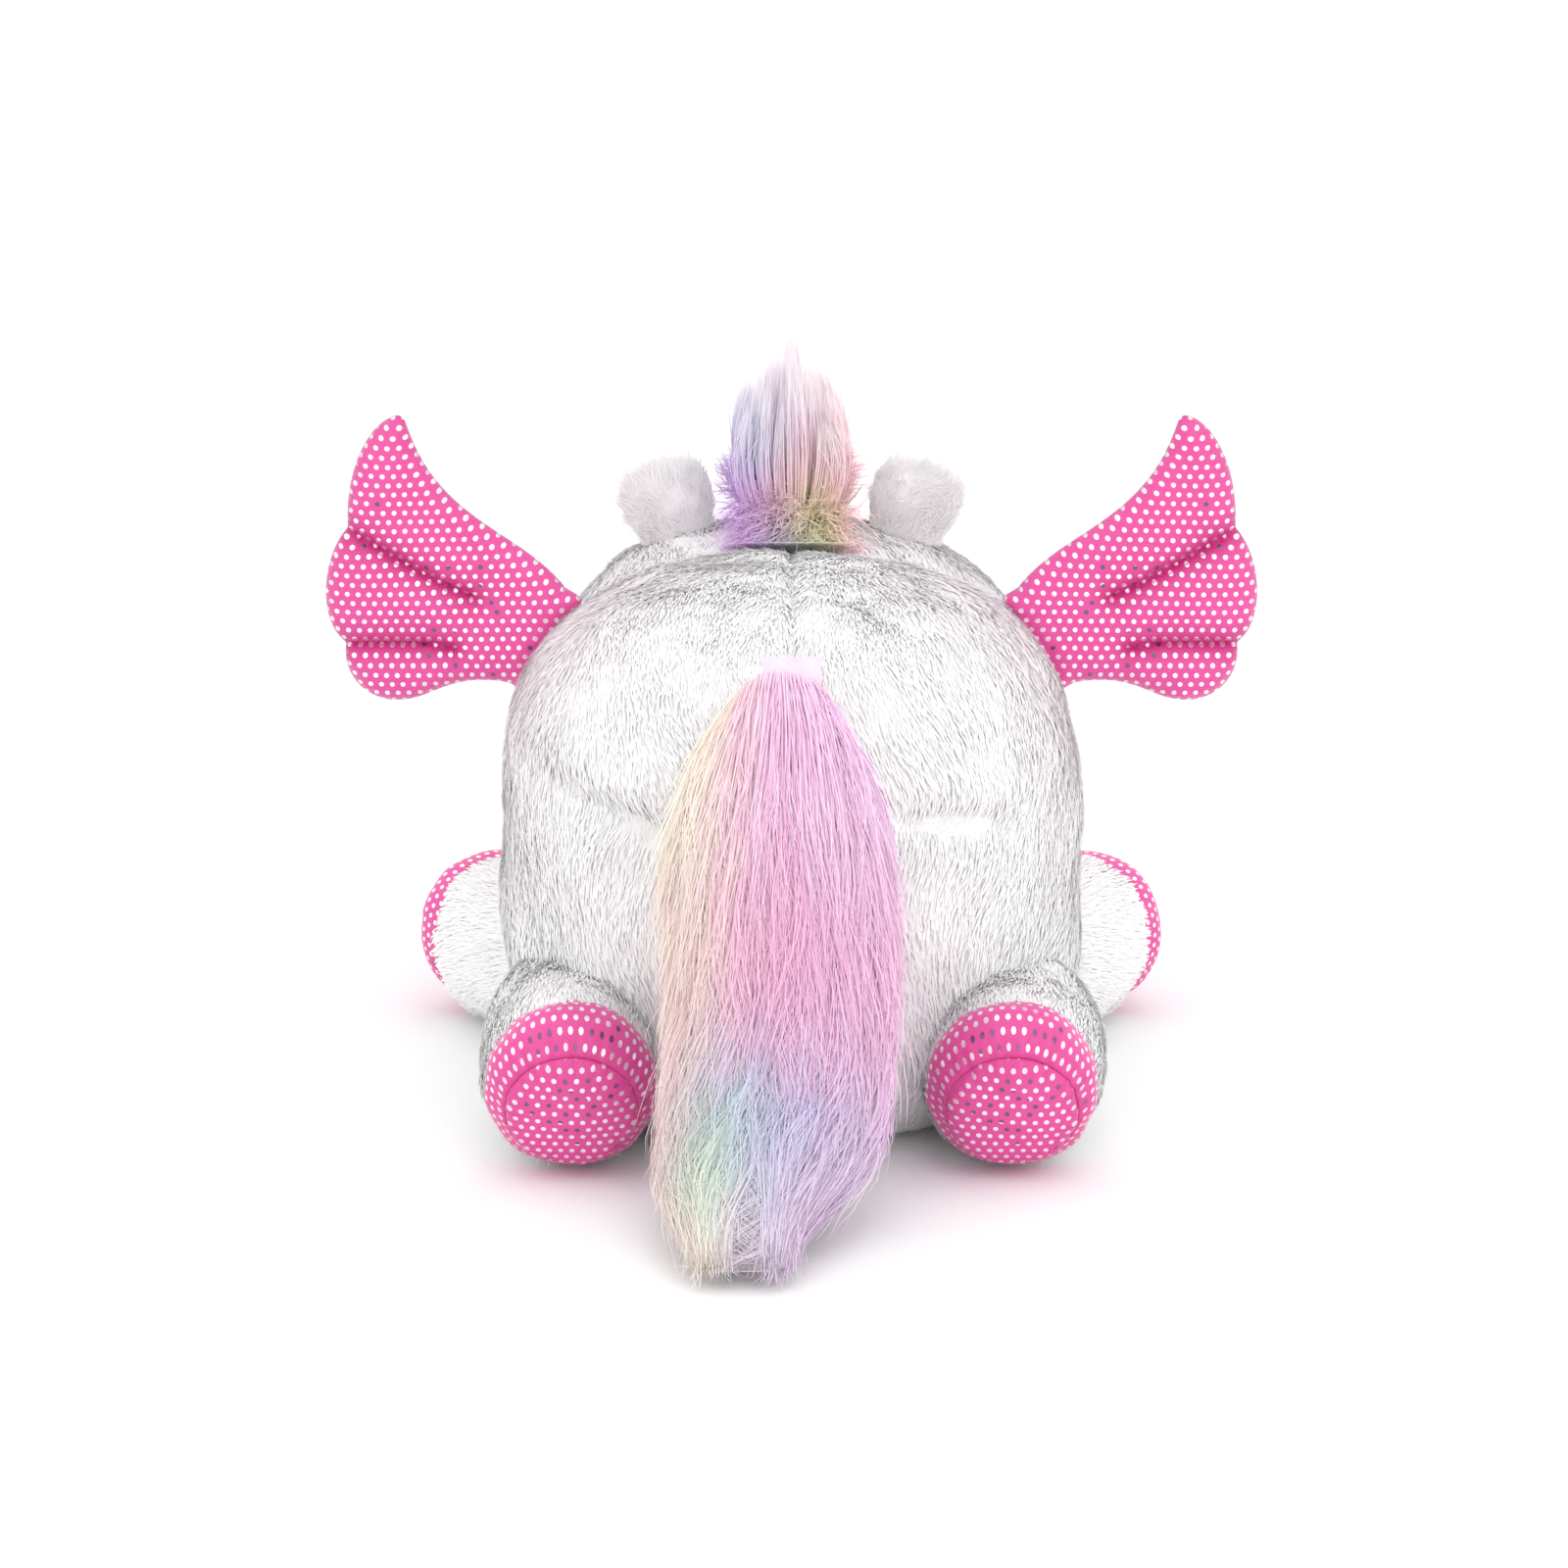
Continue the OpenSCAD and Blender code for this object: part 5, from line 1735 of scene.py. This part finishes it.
def nearest_lock(places, locks):
    """Which lock each hair belongs to."""
    found = np.zeros(len(places), int)
    for first in range(0, len(places), 4000):
        part = places[first:first + 4000]
        found[first:first + 4000] = np.argmin(np.linalg.norm(part[:, None] - locks[None], axis=2), axis=1)
    return found


TAIL_HAIRS = 13200
TAIL_SEEDS = (3, 4, 5)
TAIL_HAIR_W = (0.00028, 0.00058)


def tail_pieces():
    root = joint_place("tail_lift")
    bend = ("body", root + np.array([0, -0.004, 0.004]), root + np.array([0, 0.022, -0.030]))
    for number, seed in enumerate(TAIL_SEEDS):
        points, face, tint, rng = tail_hairs(TAIL_HAIRS, seed)
        width = rng.uniform(*TAIL_HAIR_W, len(points))
        hair = ribbons(f"tail_hair_{number}", points, width, face, tint, 0.05, rng)
        nodes = ("tail_hair",) if number == 0 else ()
        settle(hair, "tail", "rainbow_pile", *nodes, blend=bend)
    settle(tail_core(), "tail", "rainbow_pile", blend=bend)
    tape = frame["nodes"]["tail_tape"]
    woven_tape("tail_tape_weave", tape, "tail", "tail_tape", bend)


def tail_core():
    """The pile's backing cloth, hidden in the hair."""
    route = TailRoute()
    rows, turns = 60, 28
    s = np.repeat(np.linspace(0.03, 0.74, rows), turns)
    a = np.tile(np.arange(turns) / turns * 2 * math.pi, rows)
    share = np.repeat(np.linspace(0, 1, rows), turns)
    size = 0.52 * np.sin(share * math.pi * 0.98 + 0.03) ** 0.35
    points, _ = route.point(s, size * np.cos(a), size * np.sin(a))
    points[:, 2] = np.maximum(points[:, 2], 0.0006)
    core = tidy_normals(smooth_mesh("tail_backing", points, loft_faces(rows, turns, closed=True)))
    return dye(core, dyed(np.stack([s, size * np.cos(a)], axis=1), TAIL_DYES)[:len(core.data.vertices)])


def woven_tape(name, node, body, node_name, blend=None):
    """A tape that holds hair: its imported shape, with worn, rounded edges."""
    tape = copy_of(node, name)
    tidy_normals(tape, 0.00002)
    edge = tape.modifiers.new("Edge", "BEVEL")
    edge.width = 0.0003
    edge.segments = 2
    made_plain(tape)
    dress(tape, TAPE)
    return settle(tape, body, "pile_tape", node_name, blend=blend)


MANE_FROM, MANE_TO = math.radians(-18), math.radians(30)
MANE_HALF_W = 0.011
MANE_FOOT_R = HEAD_R + 0.0015
MANE_LEN = 0.077
MANE_DYES = [
    (0.02, 0.75, 0.10, 0.30, (248, 196, 226)), (0.03, 0.15, 0.08, 0.28, (170, 150, 228)),
    (0.05, -0.25, 0.09, 0.25, (166, 232, 212)), (0.08, -0.75, 0.10, 0.30, (250, 206, 220)),
    (0.17, 0.10, 0.08, 0.28, (190, 214, 240)), (0.20, -0.35, 0.09, 0.26, (236, 236, 170)),
    (0.22, 0.70, 0.10, 0.30, (222, 176, 238)), (0.30, -0.25, 0.09, 0.30, (250, 240, 178)),
    (0.32, 0.25, 0.09, 0.28, (246, 186, 226)), (0.34, -0.85, 0.12, 0.25, (252, 202, 214)),
    (0.45, 0.75, 0.14, 0.30, (220, 184, 240)), (0.48, -0.05, 0.10, 0.30, (252, 214, 206)),
    (0.50, -0.65, 0.12, 0.30, (252, 196, 214)), (0.62, 0.55, 0.12, 0.25, (186, 204, 246)),
    (0.66, 0.05, 0.12, 0.25, (226, 196, 240)), (0.68, -0.45, 0.13, 0.30, (253, 202, 214)),
    (0.90, 0.3, 0.15, 0.5, (240, 222, 244)), (0.92, -0.4, 0.15, 0.5, (254, 226, 226)),
]


def mane_colour(points):
    low, high = BODY_H - 0.022, HEAD[2] + HEAD_R + 0.072
    share = (points[..., 2] - low) / (high - low)
    across = points[..., 0] / 0.029
    flat = np.stack([share.reshape(-1), across.reshape(-1)], axis=1)
    return dyed(flat, MANE_DYES).reshape(*points.shape)


def crest_foot(angle, across):
    """Places where the mane's hairs stand on the crest."""
    return np.stack([across * MANE_HALF_W, -np.sin(angle) * MANE_FOOT_R,
                     np.cos(angle) * MANE_FOOT_R], axis=1) + HEAD


def mane_spikes(count, seed):
    """Long hair that stands up from the crest in thin spikes."""
    rng = np.random.default_rng(seed)
    steps = 7
    t = np.linspace(0, 1, steps)[None, :, None]
    angle = rng.uniform(MANE_FROM + 0.05, MANE_TO, count)
    x = rng.uniform(-1, 1, count)
    locks = 46
    lock_angle = rng.uniform(MANE_FROM + 0.08, MANE_TO, locks)
    lock_x = rng.uniform(-1, 1, locks)
    lock = nearest_lock(np.stack([angle * 4, x], 1), np.stack([lock_angle * 4, lock_x], 1))

    def crest(a, across, height, fan):
        """A point over the crest: the hair leans from radial towards upright."""
        lean = a * 0.45
        out = np.stack([np.zeros_like(a), -np.sin(lean), np.cos(lean)], axis=1)
        base = crest_foot(a, across)
        side = np.stack([across * fan, np.zeros_like(a), np.zeros_like(a)], axis=1)
        return base, out * height[:, None] + side

    tall = rng.uniform(0.70, 1.0, locks) * (1 - 0.34 * np.abs(lock_x) ** 1.5)
    height = MANE_LEN * tall[lock] * rng.uniform(0.66, 1.04, count)
    base, rise = crest(angle, x, height, 0.009)
    lock_base, lock_rise = crest(lock_angle, lock_x, MANE_LEN * tall, 0.004)
    tips = (lock_base + lock_rise)[lock]
    outwards = np.stack([x * 0.011, np.zeros(count), np.zeros(count)], axis=1)
    belly = outwards[:, None, :] * np.sin(math.pi * t * 0.8) * 0.9
    own = base[:, None, :] + rise[:, None, :] * t + belly
    toward = tips[:, None, :] - (base + rise)[:, None, :]
    toward[:, :, 2] *= 0.15
    paths = own + toward * 0.85 * t ** 1.7
    paths += rng.normal(0, 0.0009, (count, 1, 3)) * t
    stray = (rng.uniform(size=(count, 1, 1)) < 0.06) * rng.normal(0, 0.004, (count, 1, 3)) * t ** 2
    paths += stray
    tint = mane_colour(paths)
    tint = tint + (1 - tint) * (0.12 + 0.68 * np.clip((t - 0.5) / 0.5, 0, 1) ** 1.2)
    face = rng.normal(0, 0.6, (count, 3)) + np.array([0, 1.0, 0.2])
    return paths, face, tint, rng


def mane_fluff(count, seed):
    """Curly under-hair round the foot of the mane, which falls back on to the neck."""
    rng = np.random.default_rng(seed)
    steps = 7
    t = np.linspace(0, 1, steps)[None, :]
    angle = MANE_FROM + (MANE_TO - MANE_FROM) * rng.uniform(0, 1, count) ** 1.7
    x = rng.uniform(-1, 1, count)
    base = crest_foot(angle, x)
    backness = ease((math.radians(2) - angle) / math.radians(18))
    way = np.stack([x * 0.75 + rng.normal(0, 0.25, count),
                    -np.sin(angle) + backness * rng.uniform(0.1, 1.3, count),
                    np.cos(angle) * (1 - 0.55 * backness) + rng.normal(0, 0.18, count)], axis=1)
    way = unit_rows(way)
    reach = rng.uniform(0.016, 0.042, count) * (1 - 0.25 * np.abs(x))
    paths = base[:, None, :] + way[:, None, :] * (reach[:, None] * t)[:, :, None]
    fall = backness[:, None] * rng.uniform(0.2, 0.9, (count, 1)) * reach[:, None] * t ** 2
    paths[:, :, 2] -= fall
    paths[:, :, 1] += 0.4 * fall
    curls = 90
    curl_places = [rng.uniform(MANE_FROM * 5, MANE_TO * 5, curls), rng.uniform(-1, 1, curls)]
    curl = nearest_lock(np.stack([angle * 5, x], 1), np.stack(curl_places, 1))
    phase = rng.uniform(0, 2 * math.pi, curls)[curl][:, None] + rng.normal(0, 0.35, (count, 1))
    spin = 2 * math.pi * 1.25 * t + phase
    size = 0.0034 * t
    side = unit_rows(np.cross(way, np.array([0.0, 1.0, 0.3])))
    over = np.cross(way, side)
    paths += (side[:, None, :] * (size * np.cos(spin))[:, :, None]
              + over[:, None, :] * (size * np.sin(spin))[:, :, None])
    back_z = np.interp(np.abs(paths[:, :, 1] - BODY_Y).clip(0, BODY_R), *back_profile())
    height = paths[:, :, 2]
    paths[:, :, 2] = np.maximum(height, np.where(head_gap(paths) > 0, back_z + 0.0035, height))
    tint = mane_colour(paths)
    face = rng.normal(0, 0.7, (count, 3)) + np.array([0, 1.0, 0.5])
    return paths, face, tint, rng


def back_profile():
    """Heights of the back at distances from the body's axis, for np.interp."""
    outline = body_outline(34)[::-1]
    upper = outline[outline[:, 1] > BODY_WIDE_Z]
    return upper[:, 0], upper[:, 1]


def head_gap(paths):
    """How far behind the head's surface the points are, seen from its middle. Positive outside it."""
    q = paths - HEAD
    return np.hypot(q[..., 1], q[..., 2]) - HEAD_R


MANE_HAIR_W = (0.00038, 0.0007)


def mane_pieces():
    for name, hairs, count, seed, jitter, nodes in (
            ("mane_spikes", mane_spikes, 7600, 7, 0.04, ("mane_hair",)),
            ("mane_fluff", mane_fluff, 8200, 8, 0.05, ())):
        paths, face, tint, rng = hairs(count, seed)
        width = rng.uniform(*MANE_HAIR_W, len(paths))
        settle(ribbons(name, paths, width, face, tint, jitter, rng), "head", "rainbow_pile", *nodes)
    woven_tape("mane_tape_weave", frame["nodes"]["mane_tape"], "head", "mane_tape")


# ---- The studio ----

SKY_STRENGTH = 1.14
FLOOR_REACH = 40
# Each lamp's place, width and power.
LAMPS = {"overhead": ((0.1, 0.3, 1.9), 1.8, 4.5), "key": ((-0.9, 1.5, 1.3), 1.2, 4)}


def studio():
    corners = [(x * FLOOR_REACH, y * FLOOR_REACH, 0) for x, y in ((-1, -1), (1, -1), (1, 1), (-1, 1))]
    floor = smooth_mesh("floor", corners, [(0, 1, 2, 3)])
    dress(floor, floor_material())
    world = bpy.data.worlds.new("studio")
    world.use_nodes = True
    sky = world.node_tree.nodes["Background"]
    sky.inputs["Color"].default_value = (1, 1, 1, 1)
    sky.inputs["Strength"].default_value = SKY_STRENGTH
    bpy.context.scene.world = world
    for name, (place, size, power) in LAMPS.items():
        light = bpy.data.lights.new(name, "AREA")
        light.size = size
        light.energy = power
        lamp = bpy.data.objects.new(name, light)
        lamp.location = place
        aim = Vector((0, 0, 0.08)) - Vector(place)
        lamp.rotation_euler = aim.to_track_quat("-Z", "Y").to_euler()
        bpy.context.scene.collection.objects.link(lamp)


CAMERA_FAR = 1.8
CAMERA_AIM = (0.003, 0.124, 0)
CAMERA_PITCH = math.radians(20)
CAMERA_TILT = math.radians(4.75)


def camera():
    """Behind and above the toy: CAMERA_FAR from the hind hooves, tilted up from them towards the back."""
    data = bpy.data.cameras.new("camera")
    data.sensor_width = 36
    data.lens = 109.35
    data.clip_end = 30
    obj = bpy.data.objects.new("camera", data)
    back = Vector((0, math.cos(CAMERA_PITCH), math.sin(CAMERA_PITCH)))
    obj.location = Vector(CAMERA_AIM) + back * CAMERA_FAR
    obj.rotation_euler = (math.pi / 2 - CAMERA_PITCH + CAMERA_TILT, 0, math.pi)
    bpy.context.scene.collection.objects.link(obj)
    bpy.context.scene.camera = obj


camera()
studio()
body_pieces()
head_pieces()
muzzle_pieces()
face_pieces()
horn_pieces()
ear_pieces()
leg_pieces()
wing_pieces()
tail_pieces()
mane_pieces()
bpy.data.objects.remove(SHORT_BLADE)
bpy.context.scene.view_settings.view_transform = "Standard"
